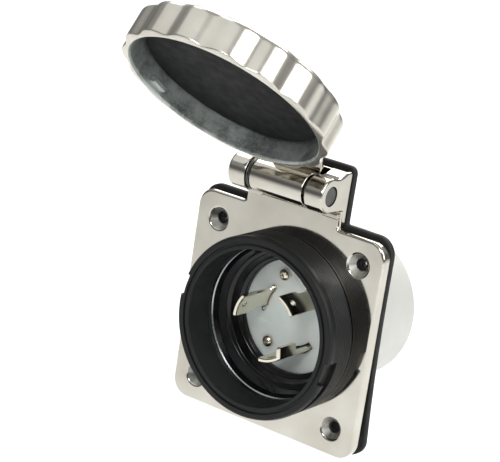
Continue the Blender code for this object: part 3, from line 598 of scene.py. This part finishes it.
def add_tab_relief(flange):
    """Flat strip across the hinge tab, with one raised mark at each end above it."""
    half, top = TAB_HALF - 0.2, RELIEF_TOP + SKIN
    strip = [(-half, RELIEF_FOOT, 0.4), (half, RELIEF_FOOT, 0.4), (half, top, 0.5), (-half, top, 0.5)]
    unite_slab(flange, rounded(strip, 4), FACE - SKIN, FACE + 2.2, 0.35, 0.1, 4)
    low, high = TAB_TOP - 1.83, TAB_TOP + 0.23
    inner, outer = RELIEF_HALF + 0.07, TAB_HALF - 0.07
    for x0, x1 in ((-outer, -inner), (inner, outer)):
        corners = ((x0, low), (x1, low), (x1, high), (x0, high))
        mark = [(x, z, MARK_ROUND) for x, z in corners]
        unite_slab(flange, rounded(mark, 4), FACE - 1.1, FACE + 2.23, 0.5, 0.1, 4)


def add_bracket(flange):
    """Plate behind the tab and the two cheeks that hold the hinge pin."""
    half, top, foot = BRACKET_HALF - 0.4, BRACKET_TOP - 0.2, BRACKET_FOOT - 1.0
    plate = [(half, foot), (half, top), (-half, top), (-half, foot)]
    unite_slab(flange, plate, BRACKET_FRONT, BACK, 0.4, 0.4, 3)
    for (x0, x1), (corner, low_round, high_round) in zip(KNUCKLES, CHEEK_ROUNDS):
        unite_slab(flange, knuckle_outline(corner), x0, x1, low_round, high_round, 6, "X")


def cut_flange_holes(flange):
    """Body opening, four countersunk screw holes and the bore of the hinge pin."""
    bm = bmesh.new()
    add_solid(bm, [(BODY_HOLE, FACE - REACH), (BODY_HOLE, BACK + REACH)], 128)
    profile = rounded([
        (SINK_RADIUS + 3.0, FACE - 2.0, 0.0), (SINK_RADIUS + 3.0, FACE - SKIN, 0.0),
        (SINK_RADIUS + 0.3, FACE - SKIN, 1.5), (HOLE_RADIUS + 0.1, FACE + SINK_DEPTH, 0.3),
        (HOLE_RADIUS, BACK + REACH, 0.0)], 8, closed=False)
    for center in HOLE_CENTERS:
        add_solid(bm, profile, 48, center)
    carve(flange, bm)
    bm = bmesh.new()
    add_x_solid(bm, [(PIN_HOLE, -30.0), (PIN_HOLE, 30.0)], 64, (HINGE.y, HINGE.z))
    carve(flange, bm)


def in_countersink(point):
    reach = math.dist((abs(point.x), abs(point.z)), (HOLE_PITCH / 2.0, HOLE_PITCH / 2.0))
    return reach < SINK_RADIUS - 0.75 and point.y > FACE + 0.1


def build_flange(mats):
    """Polished casting: plate, tab, bracket and hinge cheeks, then its holes."""
    bm = bmesh.new()
    add_slab(bm, flange_outline(), FACE, BACK, EDGE_ROUND, 0.3, 8)
    flange = make_object("flange_casting", bm)
    add_tab_relief(flange)
    add_bracket(flange)
    cut_flange_holes(flange)
    publish(flange, mats, "polished_steel", "inlet", "flange")
    paint(flange, mats["dull_steel"], in_countersink)


def gasket_outline():
    """Edge of the rubber sheet, with points close enough together for it to bend."""
    half, top = GASKET_HIGH.x, GASKET_HIGH.z
    tab, ledge = BRACKET_HALF + 0.6, HALF + 1.6
    corners = rounded([
        (-half, -half, CORNER), (half, -half, CORNER), (half, ledge, CORNER), (tab, ledge, 0.8),
        (tab, top, 3.0), (-tab, top, 3.0), (-tab, ledge, 0.8), (-half, ledge, CORNER)], 10)
    outline = []
    for (ax, az), (bx, bz) in zip(corners, corners[1:] + corners[:1]):
        parts = max(1, round(math.dist((ax, az), (bx, bz)) / 4.0))
        outline += [(ax + (bx - ax) * i / parts, az + (bz - az) * i / parts) for i in range(parts)]
    return without_repeats(outline)


def curl(x, z):
    """How far the loose lower right corner of the rubber sheet hangs back."""
    return GASKET_CURL * max(0.0, (x - z - 20.0) / 72.0) ** 2


def build_gasket(mats):
    """Rubber sheet under the flange, carried up behind the bracket."""
    front, back = GASKET_LOW.y, GASKET_HIGH.y
    outline = gasket_outline()
    edge = inset(outline, 0.5)
    rings = []
    for (x, z), (ex, ez) in zip(outline, edge):
        angle = math.degrees(math.atan2(z, x))
        ix, iz = polar(GASKET_HOLE, angle)
        bend, inner = curl(x, z), curl(ix, iz)
        rings.append([
            (ix, back + inner, iz), (ix, front + inner, iz), (ex, front + bend, ez),
            (x, front + bend + 0.5, z), (x, back + bend - 0.5, z), (ex, back + bend, ez)])
    bm = bmesh.new()
    add_loft(bm, rings, closed=True)
    gasket = make_object("gasket_sheet", bm)
    bm = bmesh.new()
    for center in HOLE_CENTERS:
        add_solid(bm, [(PILOT_HOLE, front - REACH), (PILOT_HOLE, back + 8.0)], 32, center)
    carve(gasket, bm)
    publish(gasket, mats, "black_rubber", "inlet", "flange_gasket")


# ---- collar and insulating body ----
def collar_profile():
    """Ring with a plain rounded shoulder, fine thread grooves behind it and a groove in its front."""
    front, base, shoulder = COLLAR_FRONT, COLLAR_HIGH.y, NECK_FRONT - GAP
    pitch, depth, land = 1.15, 0.16, 4.0
    corners = [(COLLAR_SEAT, base, 0.1), (COLLAR_RADIUS, base, 0.1)]
    y = base - 1.4
    while y > front + land:
        corners += [(COLLAR_RADIUS, y, 0.0), (COLLAR_RADIUS - depth, y - 0.22, 0.0),
                    (COLLAR_RADIUS - depth, y - 0.34, 0.0), (COLLAR_RADIUS, y - 0.56, 0.0)]
        y -= pitch
    corners += [
        (COLLAR_RADIUS, front + 1.5, 0.5), (COLLAR_RADIUS - 0.5, front, 0.9), (35.15, front, 0.25),
        (35.0, front + 0.8, 0.1), (34.1, front + 0.8, 0.1), (33.95, front, 0.25),
        (COLLAR_BORE, front, 0.45), (COLLAR_BORE, shoulder, 0.1), (COLLAR_SEAT, shoulder, 0.1)]
    return rounded(corners, 5)


def build_collar(mats):
    """Collar ring with two entry notches and the channels that the cap's lugs turn in."""
    bm = bmesh.new()
    add_ring(bm, collar_profile(), 256)
    collar = make_object("collar_ring", bm)
    outside = COLLAR_RADIUS + REACH
    for low, high, before, steps in ((COLLAR_FRONT - REACH, CHANNEL[0] + 0.6, NOTCH_HALF, 12),
                                     (CHANNEL[0], CHANNEL[1], LUG_TRAVEL, 60)):
        section = [(NOTCH_FLOOR, low), (outside, low), (outside, high), (NOTCH_FLOOR, high)]
        bm = bmesh.new()
        for middle in NOTCHES:
            add_sector(bm, section, middle - before, middle + NOTCH_HALF, steps)
        carve(collar, bm)
    publish(collar, mats, "black_plastic", "inlet", "threaded_collar")


# the chamfer ring at the mouth of the bore, which gets the painted highlight
def on_highlight_ring(point):
    radius = math.hypot(point.x, point.z)
    return HIGHLIGHT_RING[0] < radius < HIGHLIGHT_RING[1] and FACE + 0.5 < point.y < FACE + 1.1


def build_insulator(mats):
    """Neck through the flange, rim behind it and the stepped bore in front of the blades."""
    corners = [
        (COLLAR_BORE, NECK_FRONT, 0.2), (34.2, NECK_FRONT, 0.2), (34.2, BACK + GAP, 0.1),
        (BODY_RIM, BACK + GAP, 0.4), (BODY_RIM, -GAP, 0.4), (30.5, -GAP, 0.1), (30.5, 1.2, 0.1),
        (29.0, 1.2, 0.1), (29.0, 4.0, 0.1), (30.5, 4.0, 0.1), (30.5, FACE + 24.0, 0.2),
        (26.4, FACE + 24.0, 0.1), (26.4, CARRIER_FACE - GAP, 0.1), (24.1, CARRIER_FACE - GAP, 0.1),
        (24.1, CARRIER_FACE - 2.4, 0.7), (26.0, CARRIER_FACE - 3.2, 1.2), (27.6, FACE + 7.8, 0.8),
        (29.2, FACE + 7.2, 0.8), (30.6, FACE + 3.0, 2.0), (31.85, FACE + 1.0, 0.2),
        (COLLAR_BORE, FACE + 0.6, 0.1)]
    bm = bmesh.new()
    add_ring(bm, rounded(corners, 6), 192)
    body = make_object("insulator_moulding", bm)
    bm = bmesh.new()
    for angle in LONG_SCREWS:
        add_solid(bm, [(1.35, FACE + 16.0), (1.35, FACE + 27.0)], 24, polar(LONG_SCREW_CIRCLE, angle))
    carve(body, bm)
    publish(body, mats, "gloss_black_plastic", "inlet", "insulator_body")
    # colour the chamfer ring at the mouth of the bore pale metal, as a painted highlight
    paint(body, mats["painted_highlight_edge"], on_highlight_ring)


# ---- blades and carrier ----
def blade_section(middle, half, y, thick, steps=16):
    """Curved blade cross-section at one Y, with softened corners."""
    edge = math.degrees(0.28 / BLADE_RADIUS)
    outer, inner = BLADE_RADIUS + thick / 2.0, BLADE_RADIUS - thick / 2.0
    points = arc_points((0.0, 0.0), outer, middle - half + edge, middle + half - edge, steps)
    points += [polar(outer - 0.28, middle + half), polar(inner + 0.28, middle + half)]
    points += arc_points((0.0, 0.0), inner, middle + half - edge, middle - half + edge, steps)
    points += [polar(inner + 0.28, middle - half), polar(outer - 0.28, middle - half)]
    return [(x, y, z) for x, z in points]


def ground_section(y, hook, half, thick, steps=16):
    """Ground blade cross-section; its upper end is bent inwards by hook millimetres."""
    end = GROUND[0] + half
    lean = Vector((-0.15, 0.989))
    outer = arc_points((0.0, 0.0), BLADE_RADIUS + thick / 2.0, GROUND[0] - half, end, steps)
    inner = arc_points((0.0, 0.0), BLADE_RADIUS - thick / 2.0, end - 3.6, GROUND[0] - half, steps)
    tip = Vector(outer[-1]) + lean * (hook + 0.9)
    heel = Vector(inner[0]) + lean * hook
    return [(x, y, z) for x, z in outer + [tuple(tip), tuple(heel)] + inner]


def cut_blade_hole(blade, angle):
    bm = bmesh.new()
    stations = [(BLADE_RADIUS - 5.0, 1.45), (BLADE_RADIUS + 5.0, 1.45)]
    add_radial_rod(bm, stations, angle, BLADE_TIP + 4.2, 32)
    carve(blade, bm)


def build_blades(mats):
    """Two curved blades with staking marks at their foot, and the hooked ground blade."""
    shoulder = BLADE_TIP + BLADE_HEAD
    for name, (middle, half) in (("hot", HOT), ("neutral", NEUTRAL)):
        neck, shift = half - 2.6, -2.6
        bm = bmesh.new()
        add_loft(bm, [
            blade_section(middle, half - 1.4, BLADE_TIP, BLADE_THICK - 0.75),
            blade_section(middle, half - 0.5, BLADE_TIP + 0.25, BLADE_THICK - 0.3),
            blade_section(middle, half, BLADE_TIP + 0.8, BLADE_THICK),
            blade_section(middle, half, shoulder, BLADE_THICK),
            blade_section(middle + shift, neck, shoulder + 0.6, BLADE_THICK),
            blade_section(middle + shift, neck, BLADE_TAIL, BLADE_THICK)])
        for angle in (middle + shift - neck - 2.6, middle + shift + neck + 7.0):
            nub = [(0.95, CARRIER_FACE - 0.35), (0.95, CARRIER_FACE - 1.5), (0.5, CARRIER_FACE - 1.9)]
            add_solid(bm, nub[::-1], 20, polar(BLADE_RADIUS, angle))
        blade = make_object("curved_blade_" + name, bm)
        cut_blade_hole(blade, middle)
        publish(blade, mats, "nickel_plate", "inlet", "blade_" + name)

    bm = bmesh.new()
    add_loft(bm, [
        ground_section(BLADE_TIP, 3.2, GROUND[1] - 1.2, BLADE_THICK - 0.75),
        ground_section(BLADE_TIP + 0.25, 3.6, GROUND[1] - 0.4, BLADE_THICK - 0.3),
        ground_section(BLADE_TIP + 0.8, 3.9, GROUND[1], BLADE_THICK),
        ground_section(shoulder, 3.9, GROUND[1], BLADE_THICK),
        ground_section(shoulder + 0.6, 0.5, GROUND[1], BLADE_THICK),
        ground_section(BLADE_TAIL, 0.5, GROUND[1], BLADE_THICK)])
    blade = make_object("curved_blade_ground", bm)
    cut_blade_hole(blade, GROUND[0] - 6.0)
    publish(blade, mats, "nickel_plate", "inlet", "blade_ground")


def build_carrier(mats):
    """Milky disc with slots for the blades and holes for the face screws."""
    radius, back = CARRIER_HIGH.x, CARRIER_HIGH.y
    bm = bmesh.new()
    add_solid(bm, rounded([
        (0.5, back, 0.0), (radius, back, 0.4), (radius, CARRIER_FACE, 0.5), (0.5, CARRIER_FACE, 0.0)],
        4, closed=False), 160)
    carrier = make_object("carrier_disc", bm)
    bm = bmesh.new()
    front = CARRIER_FACE - 3.0
    inner, outer = BLADE_RADIUS - 1.2, BLADE_RADIUS + 1.2
    slots = [(middle - half - 1.4, middle + half - 3.8, inner) for middle, half in (HOT, NEUTRAL)]
    slots.append((GROUND[0] - GROUND[1] - 1.4, GROUND[0] + GROUND[1] + 3.4, inner - 0.9))
    for start, stop, low in slots:
        section = [(low, front), (outer, front), (outer, back + 3.0), (low, back + 3.0)]
        add_sector(bm, section, start, stop, 16)
    for angle in FACE_SCREWS:
        add_solid(bm, [(1.6, front), (1.6, back + 3.0)], 32, polar(FACE_SCREW_CIRCLE, angle))
    carve(carrier, bm)
    publish(carrier, mats, "milky_nylon", "inlet", "blade_carrier")


def add_cross(bm, center, low, high, arm=1.4, bar=0.42):
    """Plus-shaped driver recess along Y."""
    outline = [(bar, -arm), (bar, -bar), (arm, -bar), (arm, bar), (bar, bar), (bar, arm),
               (-bar, arm), (-bar, bar), (-arm, bar), (-arm, -bar), (-bar, -bar), (-bar, -arm)]
    turned = [(u * 0.87 - v * 0.5, u * 0.5 + v * 0.87) for u, v in outline]
    add_loft(bm, [[(center[0] + u, y, center[1] + v) for u, v in turned] for y in (low, high)])


def build_face_screws(mats):
    for index, angle in enumerate(FACE_SCREWS, 1):
        center = polar(FACE_SCREW_CIRCLE, angle)
        seat = CARRIER_FACE - GAP
        bm = bmesh.new()
        add_solid(bm, rounded([
            (0.4, seat - 1.9, 0.0), (1.3, seat - 1.88, 0.6), (2.5, seat - 1.0, 0.9), (2.5, seat, 0.15),
            (1.25, seat, 0.0), (1.25, seat + 13.0, 0.0), (0.7, seat + 13.7, 0.0)],
            4, closed=False), 40, center)
        screw = make_object("cross_screw_%d" % index, bm)
        bm = bmesh.new()
        add_cross(bm, center, seat - 4.0, seat - 0.5)
        carve(screw, bm)
        publish(screw, mats, "nickel_plate", "inlet", "face_screw_%d" % index)


# ---- rear enclosure ----
def build_cover(mats):
    """White cup behind the panel, with the lower half of the cable clamp moulded on its end."""
    inner, front = COVER_RADIUS - 2.0, COVER_LOW.y
    corners = [
        (inner, front, 0.3), (COVER_RADIUS, front, 0.4), (COVER_RADIUS, COVER_END, 2.2),
        (4.0, COVER_END, 0.0), (4.0, COVER_END - 2.5, 0.0), (inner, COVER_END - 2.5, 1.0)]
    bm = bmesh.new()
    add_ring(bm, rounded(corners, 8), 160)
    cover = make_object("rear_housing", bm)
    corners = ((-SADDLE_HALF, -13.0), (SADDLE_HALF, -13.0), (SADDLE_HALF, -0.4), (-SADDLE_HALF, -0.4))
    saddle = rounded([(x, z, 1.1) for x, z in corners], 4)
    unite_slab(cover, saddle, COVER_END - 1.0, COVER_HIGH.y, 0.1, 0.8, 4)
    bm = bmesh.new()
    add_solid(bm, [(CABLE_BORE, COVER_END - 6.0), (CABLE_BORE, COVER_HIGH.y + 4.0)], 72)
    for angle in LONG_SCREWS:
        ends = (COVER_END - 6.0, COVER_END + REACH)
        add_solid(bm, [(1.7, y) for y in ends], 24, polar(LONG_SCREW_CIRCLE, angle))
    for side in (-1.0, 1.0):
        add_z_solid(bm, [(1.3, -9.0), (1.3, 4.0)], 24, (side * CLAMP_SCREW_X, CLAMP_SCREW_Y))
    carve(cover, bm)
    publish(cover, mats, "white_plastic", "inlet", "rear_cover")


def build_cover_screws(mats):
    for index, angle in enumerate(LONG_SCREWS, 1):
        center = polar(LONG_SCREW_CIRCLE, angle)
        head = COVER_END + GAP
        bm = bmesh.new()
        add_solid(bm, rounded([
            (1.0, FACE + 17.0, 0.0), (1.15, FACE + 18.0, 0.0), (1.15, head, 0.0), (2.7, head, 0.15),
            (2.7, head + 1.3, 0.7), (0.4, head + 2.0, 0.0)], 4, closed=False), 36, center)
        screw = make_object("housing_screw_%d" % index, bm)
        bm = bmesh.new()
        add_cross(bm, center, head + 0.9, head + 4.0)
        carve(screw, bm)
        publish(screw, mats, "nickel_plate", "inlet", "cover_screw_%d" % index)


def build_grommet(mats):
    bm = bmesh.new()
    add_ring(bm, rounded([
        (6.0, COVER_END - 4.0, 0.4), (9.0, COVER_END - 4.0, 0.4), (9.0, COVER_END + 3.0, 0.6),
        (6.0, COVER_END + 3.0, 0.6)], 5), 96)
    grommet = make_object("cable_ring", bm)
    publish(grommet, mats, "black_rubber", "inlet", "cable_grommet")


def build_clamp_bar(mats):
    """Upper half of the cable clamp."""
    low, high = node_box("cable_clamp_bar")
    bm = bmesh.new()
    outline = rounded([(low.x, low.z, 1.0), (high.x, low.z, 1.0),
                       (high.x, high.z, 2.0), (low.x, high.z, 2.0)], 6)
    add_slab(bm, outline, low.y, high.y, 0.7, 0.7, 4)
    bar = make_object("clamp_bar", bm)
    bm = bmesh.new()
    add_solid(bm, [(CLAMP_BORE, low.y - REACH), (CLAMP_BORE, high.y + REACH)], 72)
    for side in (-1.0, 1.0):
        add_z_solid(bm, [(1.75, -4.0), (1.75, 14.0)], 24, (side * CLAMP_SCREW_X, CLAMP_SCREW_Y))
    carve(bar, bm)
    publish(bar, mats, "white_plastic", "inlet", "cable_clamp_bar")


def build_clamp_screws(mats):
    for index, side in enumerate((-1.0, 1.0), 1):
        bm = bmesh.new()
        add_z_solid(bm, rounded([
            (0.7, -8.0, 0.0), (1.0, -7.4, 0.0), (1.0, 10.3, 0.0), (2.5, 10.3, 0.15), (2.5, 11.5, 0.7),
            (0.4, 12.3, 0.0)], 4, closed=False), 36, (side * CLAMP_SCREW_X, CLAMP_SCREW_Y))
        screw = make_object("bar_screw_%d" % index, bm)
        publish(screw, mats, "nickel_plate", "inlet", "clamp_screw_%d" % index)


# ---- hinge pin, washers and arm ----
def build_pin(mats):
    bm = bmesh.new()
    add_x_solid(bm, rounded([
        (0.4, PIN_LOW.x, 0.0), (3.8, PIN_LOW.x, 0.45), (3.8, PIN_HIGH.x, 0.45), (0.4, PIN_HIGH.x, 0.0)],
        5, closed=False), 64, (HINGE.y, HINGE.z))
    pin = make_object("pin_rod", bm)
    publish(pin, mats, "pin_steel", "inlet", "hinge_pin")


def build_wave_washer(mats):
    """Spring washer that waves twice round its circle."""
    rings = []
    for i in range(96):
        angle = 2.0 * math.pi * i / 96
        x = WAVE_PLACE + 0.17 * math.cos(2.0 * angle + 0.6)
        rings.append([(x + dx, HINGE.y + r * math.cos(angle), HINGE.z + r * math.sin(angle))
                      for dx, r in ((-0.17, 4.15), (-0.17, 6.7), (0.17, 6.7), (0.17, 4.15))])
    bm = bmesh.new()
    add_loft(bm, rings, closed=True)
    washer = make_object("wave_spring", bm)
    publish(washer, mats, "spring_steel", "inlet", "wave_washer")


def strap_path():
    """Middle line of the lid arm as (forward, down, normal) stations, measured from the pin."""
    along = (math.cos(ARM_LEAN), math.sin(ARM_LEAN))
    normal = (math.sin(ARM_LEAN), -math.cos(ARM_LEAN))
    start = [(BARREL_RADIUS - ARM_THICK / 2.0) * n for n in normal]
    middle = ARM_GAP + ARM_THICK / 2.0
    reach = (middle - start[0]) / along[0]
    corner = (middle, start[1] + reach * along[1])
    fillet = 6.0
    tangent = fillet * math.tan(0.25 * math.pi - 0.5 * ARM_LEAN)
    center = (middle - fillet, corner[1] + tangent)
    path = [(start[0] - along[0], start[1] - along[1], normal)]
    for i in range(13):
        angle = (ARM_LEAN - 0.5 * math.pi) * (1.0 - i / 12.0)
        n = (math.cos(angle), math.sin(angle))
        path.append((center[0] + fillet * n[0], center[1] + fillet * n[1], n))
    path.append((middle, HINGE_DROP - 24.0, (1.0, 0.0)))
    for i in range(15):
        path.append((middle, HINGE_DROP + ARM_END * math.sin(math.radians(6.0 * i)), (1.0, 0.0)))
    return path


def build_arm(mats):
    """Barrel and bent strap; the mesh is made relative to the hinge axis, closed."""
    path = strap_path()
    center = (BARREL[0] + BARREL[1]) / 2.0
    t, edge = ARM_THICK / 2.0, 0.4
    rings = []
    for index, (forward, down, normal) in enumerate(path):
        half, middle = (BARREL[1] - BARREL[0]) / 2.0 - 0.01, center
        if index >= len(path) - 15:
            half = max(1.2, ARM_END * math.cos(math.radians(6.0 * (index - len(path) + 15))))
            middle = 0.0
        section = rounded([(-half, -t, edge), (half, -t, edge), (half, t, edge), (-half, t, edge)], 3)
        rings.append([(middle + u, -(forward + v * normal[0]), -(down + v * normal[1]))
                      for u, v in section])
    bm = bmesh.new()
    add_x_solid(bm, rounded([
        (3.0, BARREL[0], 0.0), (BARREL_RADIUS, BARREL[0], 0.5), (BARREL_RADIUS, BARREL[1], 0.5),
        (3.0, BARREL[1], 0.0)], 5, closed=False), 128)
    arm = make_object("arm_and_barrel", bm)
    bm = bmesh.new()
    add_loft(bm, rings)
    carve(arm, bm, "UNION")
    bm = bmesh.new()
    add_x_solid(bm, [(PIN_HOLE, -26.0), (PIN_HOLE, 26.0)], 64)
    ends = (-ARM_GAP - 6.0, -ARM_GAP + REACH)
    add_solid(bm, [(PIVOT_HOLE, y) for y in ends], 48, (0.0, -HINGE_DROP))
    carve(arm, bm)
    arm.matrix_world = Matrix.Translation(HINGE * MM) @ Matrix.Rotation(OPEN_TURN, 4, "X")
    publish(arm, mats, "polished_steel", "lid", "lid_arm")


# ---- cap ----
def scallop(angle):
    """1 on a lobe crest, 0 in the bottom of a groove."""
    wave = 0.5 + 0.5 * math.cos(CAP_LOBES * (angle - math.radians(14.0)))
    return 1.0 - wave ** 1.5


def cap_rise(depth):
    """Share of the lobe height at a depth below the mouth: rounded at both ends."""
    start, full, fall, end = 0.02, 0.9, LOBE_END, CAP_HEIGHT - 0.2
    if depth <= start or depth >= end:
        return 0.0
    if depth < full:
        return math.sqrt(1.0 - (1.0 - (depth - start) / (full - start)) ** 2)
    if depth > fall:
        return math.sqrt(max(0.0, 1.0 - ((depth - fall) / (end - fall)) ** 2))
    return 1.0


def cap_outer():
    """(radius, y) points down the outside of the cap, in the bottom of a groove."""
    depths = [0.03, 0.08, 0.15, 0.25, 0.4, 0.6, 0.8, 1.0, 1.2, 1.5]
    depths += [3.0, 5.0, 8.0, 10.0, LOBE_END] + [LOBE_END + 0.3 * i for i in range(1, 13)]
    points = []
    for depth in depths:
        grown = math.sqrt(1.0 - (1.0 - min(1.0, depth / 0.5)) ** 2)
        radius = CAP_LIP + (CAP_GROOVE - CAP_LIP) * grown
        if depth > BACK_START:
            share = (depth - BACK_START) / BACK_ROUND
            radius -= BACK_ROUND * (1.0 - math.sqrt(max(0.0, 1.0 - share ** 2)))
        points.append((radius, MOUTH - depth))
    return points


def cap_lobes(angle, r, y):
    """Radius of the cap with its lobes; the hollow and the middle of the back stay round."""
    inside = r < CAP_LIP - 0.1 and y > MOUTH - CAP_HEIGHT + CAP_WALL - 0.6
    if inside or r < CAP_LIP - 3.5:
        return r
    return r + (CAP_LOBE - CAP_GROOVE) * scallop(angle) * cap_rise(MOUTH - y)


def in_cap_hollow(point):
    return math.hypot(point.x, point.z) < CAP_LIP - 0.7 and point.y > MOUTH - CAP_HEIGHT + CAP_WALL - 0.05


def build_cap(mats):
    """Scalloped shell, modelled closed relative to the cap centre; y falls from mouth to back."""
    floor, back = MOUTH - (CAP_HEIGHT - CAP_WALL), MOUTH - CAP_HEIGHT
    profile = rounded([
        (PIVOT_HOLE, back, 0.3), (PIVOT_HOLE, floor, 0.3), (CAP_BORE, floor, 1.2),
        (CAP_BORE, MOUTH - 0.8, 0.5), (CAP_BORE + 0.6, MOUTH, 0.25), (CAP_LIP, MOUTH, 0.0)], 6)
    outer = cap_outer()
    profile += outer
    profile += [(outer[-1][0] - 1.5, back), (20.0, back)]
    bm = bmesh.new()
    add_ring(bm, profile, 512, cap_lobes)
    cap = make_object("cap_shell", bm, 40.0)

    low, high = (MOUTH - depth for depth in CAP_LUG)
    root = CAP_BORE + 0.6
    lug = [(LUG_RADIUS, low, 0.5), (root, low, 0.0), (root, high, 0.0), (LUG_RADIUS, high, 0.5)]
    section = rounded(lug, 4)
    bm = bmesh.new()
    for middle in NOTCHES:
        add_sector(bm, section, middle - LUG_HALF, middle + LUG_HALF, 12)
    carve(cap, bm, "UNION", 40.0)
    open_lid(cap)
    publish(cap, mats, "satin_steel", "cap", "cap")
    paint(cap, mats["blasted_steel"], in_cap_hollow)


def build_seal(mats):
    bm = bmesh.new()
    face = MOUTH - SEAL_DEPTH
    add_solid(bm, rounded([
        (0.5, face, 0.0), (SEAL_RADIUS, face, 0.6), (SEAL_RADIUS, face - 2.8, 0.5), (0.5, face - 2.8, 0.0)],
        5, closed=False), 192)
    seal = make_object("seal_disc", bm)
    open_lid(seal)
    publish(seal, mats, "seal_rubber", "cap", "cap_seal")


def build_rivet(mats):
    """Round-headed rivet that the cap turns on, from the arm to the clip behind the seal."""
    back = MOUTH - CAP_HEIGHT
    head = -ARM_GAP - ARM_THICK - GAP
    bm = bmesh.new()
    add_solid(bm, rounded([
        (0.5, head - 2.1, 0.0), (3.2, head - 2.05, 1.5), (5.6, head - 0.6, 1.0), (5.6, head, 0.1),
        (3.0, head, 0.1), (3.0, back + 3.9, 0.1), (2.6, back + 4.2, 0.0)], 5, closed=False), 72)
    rivet = make_object("round_rivet", bm)
    open_lid(rivet)
    publish(rivet, mats, "polished_steel", "lid", "pivot_rivet")


def build_pivot_washer(mats):
    front, rear = MOUTH - CAP_HEIGHT - GAP, -ARM_GAP + GAP
    bm = bmesh.new()
    add_ring(bm, rounded([(3.4, front, 0.1), (8.0, front, 0.2), (8.0, rear, 0.2), (3.4, rear, 0.1)], 3), 72)
    washer = make_object("pivot_spacer", bm)
    open_lid(washer)
    publish(washer, mats, "spring_steel", "lid", "pivot_washer")


def dress_hidden_nodes(mats):
    """The small inner parts stay as packed and get their finish and softened edges."""
    slots = {row["node"]: row["material_slot"] for row in frame["record"]["subparts"]}
    for name, obj in frame["nodes"].items():
        if obj.hide_render:
            continue
        obj.data.materials.clear()
        obj.data.materials.append(mats[slots[name]])
        weld = obj.modifiers.new("weld", "WELD")
        weld.merge_threshold = 1e-6
        bevel = obj.modifiers.new("edges", "BEVEL")
        bevel.width = 0.12 * MM
        bevel.segments = 2
        bevel.limit_method = "ANGLE"
        bevel.angle_limit = math.radians(35.0)


# ---- stage ----
def area_light(name, place, target, size, power):
    data = bpy.data.lights.new(name, "AREA")
    data.shape = "RECTANGLE"
    data.size, data.size_y = size
    data.energy = power
    light = bpy.data.objects.new(name, data)
    bpy.context.scene.collection.objects.link(light)
    light.location = place
    light.rotation_euler = (Vector(target) - Vector(place)).to_track_quat("-Z", "Y").to_euler()


def build_floor():
    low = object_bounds()[0].z
    bm = bmesh.new()
    bmesh.ops.create_circle(bm, cap_ends=True, segments=96, radius=FLOOR_RADIUS)
    mesh = bpy.data.meshes.new("floor")
    bm.to_mesh(mesh)
    bm.free()
    floor = bpy.data.objects.new("floor", mesh)
    floor.location = (0.0, 0.0, low - FLOOR_DROP)
    bpy.context.scene.collection.objects.link(floor)
    n = Nodes("pale_floor")
    n.use("Base Color", n.blend(n.noise(3.0), (0.90, 0.90, 0.89), (0.88, 0.88, 0.87)))
    n.shader.inputs["Roughness"].default_value = 0.9
    mesh.materials.append(n.mat)


def build_world():
    """Soft grey surround, darkest just above the horizon and brightest overhead."""
    world = bpy.data.worlds.new("studio")
    bpy.context.scene.world = world
    world.use_nodes = True
    nodes, links = world.node_tree.nodes, world.node_tree.links
    background = nodes["Background"]
    coord = nodes.new("ShaderNodeTexCoord")
    split = nodes.new("ShaderNodeSeparateXYZ")
    ramp = nodes.new("ShaderNodeValToRGB")
    links.new(coord.outputs["Generated"], split.inputs[0])
    links.new(split.outputs["Z"], ramp.inputs["Fac"])
    links.new(ramp.outputs["Color"], background.inputs["Color"])
    stops = ramp.color_ramp.elements
    stops[0].position, stops[0].color = 0.0, (0.20, 0.20, 0.195, 1.0)
    stops[1].position, stops[1].color = 0.9, (0.44, 0.445, 0.45, 1.0)
    for place, level in ((0.2, 0.15), (0.4, 0.38)):
        stops.new(place).color = (level, level, level, 1.0)
    background.inputs["Strength"].default_value = 1.0


def build_lights():
    area_light("over", (-0.25, -0.45, 0.75), (-0.15, -0.35, -0.2), (1.2, 0.7), 1.7)
    area_light("front", (0.30, -0.95, 0.60), (0.0, 0.0, 0.0), (0.30, 0.30), 3.4)
    area_light("right", (0.80, -0.15, 0.50), (0.0, 0.0, 0.03), (0.6, 0.8), 6.4)
    area_light("back_low", (-0.25, 0.75, 0.85), (-0.35, 0.85, -0.2), (1.2, 0.8), 8.5)
    area_light("back_far", (-1.0, 2.2, 2.2), (-1.1, 2.3, -0.2), (3.4, 2.4), 75.0)


def build_camera():
    azimuth, elevation, roll = (math.radians(angle) for angle in CAMERA_TURN)
    back = Vector((math.sin(azimuth) * math.cos(elevation), -math.cos(azimuth) * math.cos(elevation),
                   math.sin(elevation)))
    right = (-back).cross(Vector((0.0, 0.0, 1.0))).normalized()
    up = right.cross(-back)
    turned_right = right * math.cos(roll) + up * math.sin(roll)
    turned_up = up * math.cos(roll) - right * math.sin(roll)
    data = bpy.data.cameras.new("camera")
    data.sensor_width = CAMERA_SENSOR
    data.lens = CAMERA_LENS
    data.clip_start, data.clip_end = 0.01, 50.0
    camera = bpy.data.objects.new("camera", data)
    bpy.context.scene.collection.objects.link(camera)
    basis = Matrix((turned_right, turned_up, back)).transposed().to_4x4()
    camera.matrix_world = Matrix.Translation(CAMERA_TARGET + back * CAMERA_DISTANCE) @ basis
    bpy.context.scene.camera = camera
    bpy.context.scene.view_settings.view_transform = "Standard"


# ---- run ----
materials = make_materials()
for build in (build_flange, build_gasket, build_collar, build_insulator, build_blades, build_carrier,
              build_face_screws, build_cover, build_cover_screws, build_grommet, build_clamp_bar,
              build_clamp_screws, build_pin, build_wave_washer, build_arm, build_cap, build_seal,
              build_rivet, build_pivot_washer, dress_hidden_nodes):
    build(materials)
build_floor()
build_world()
build_lights()
build_camera()
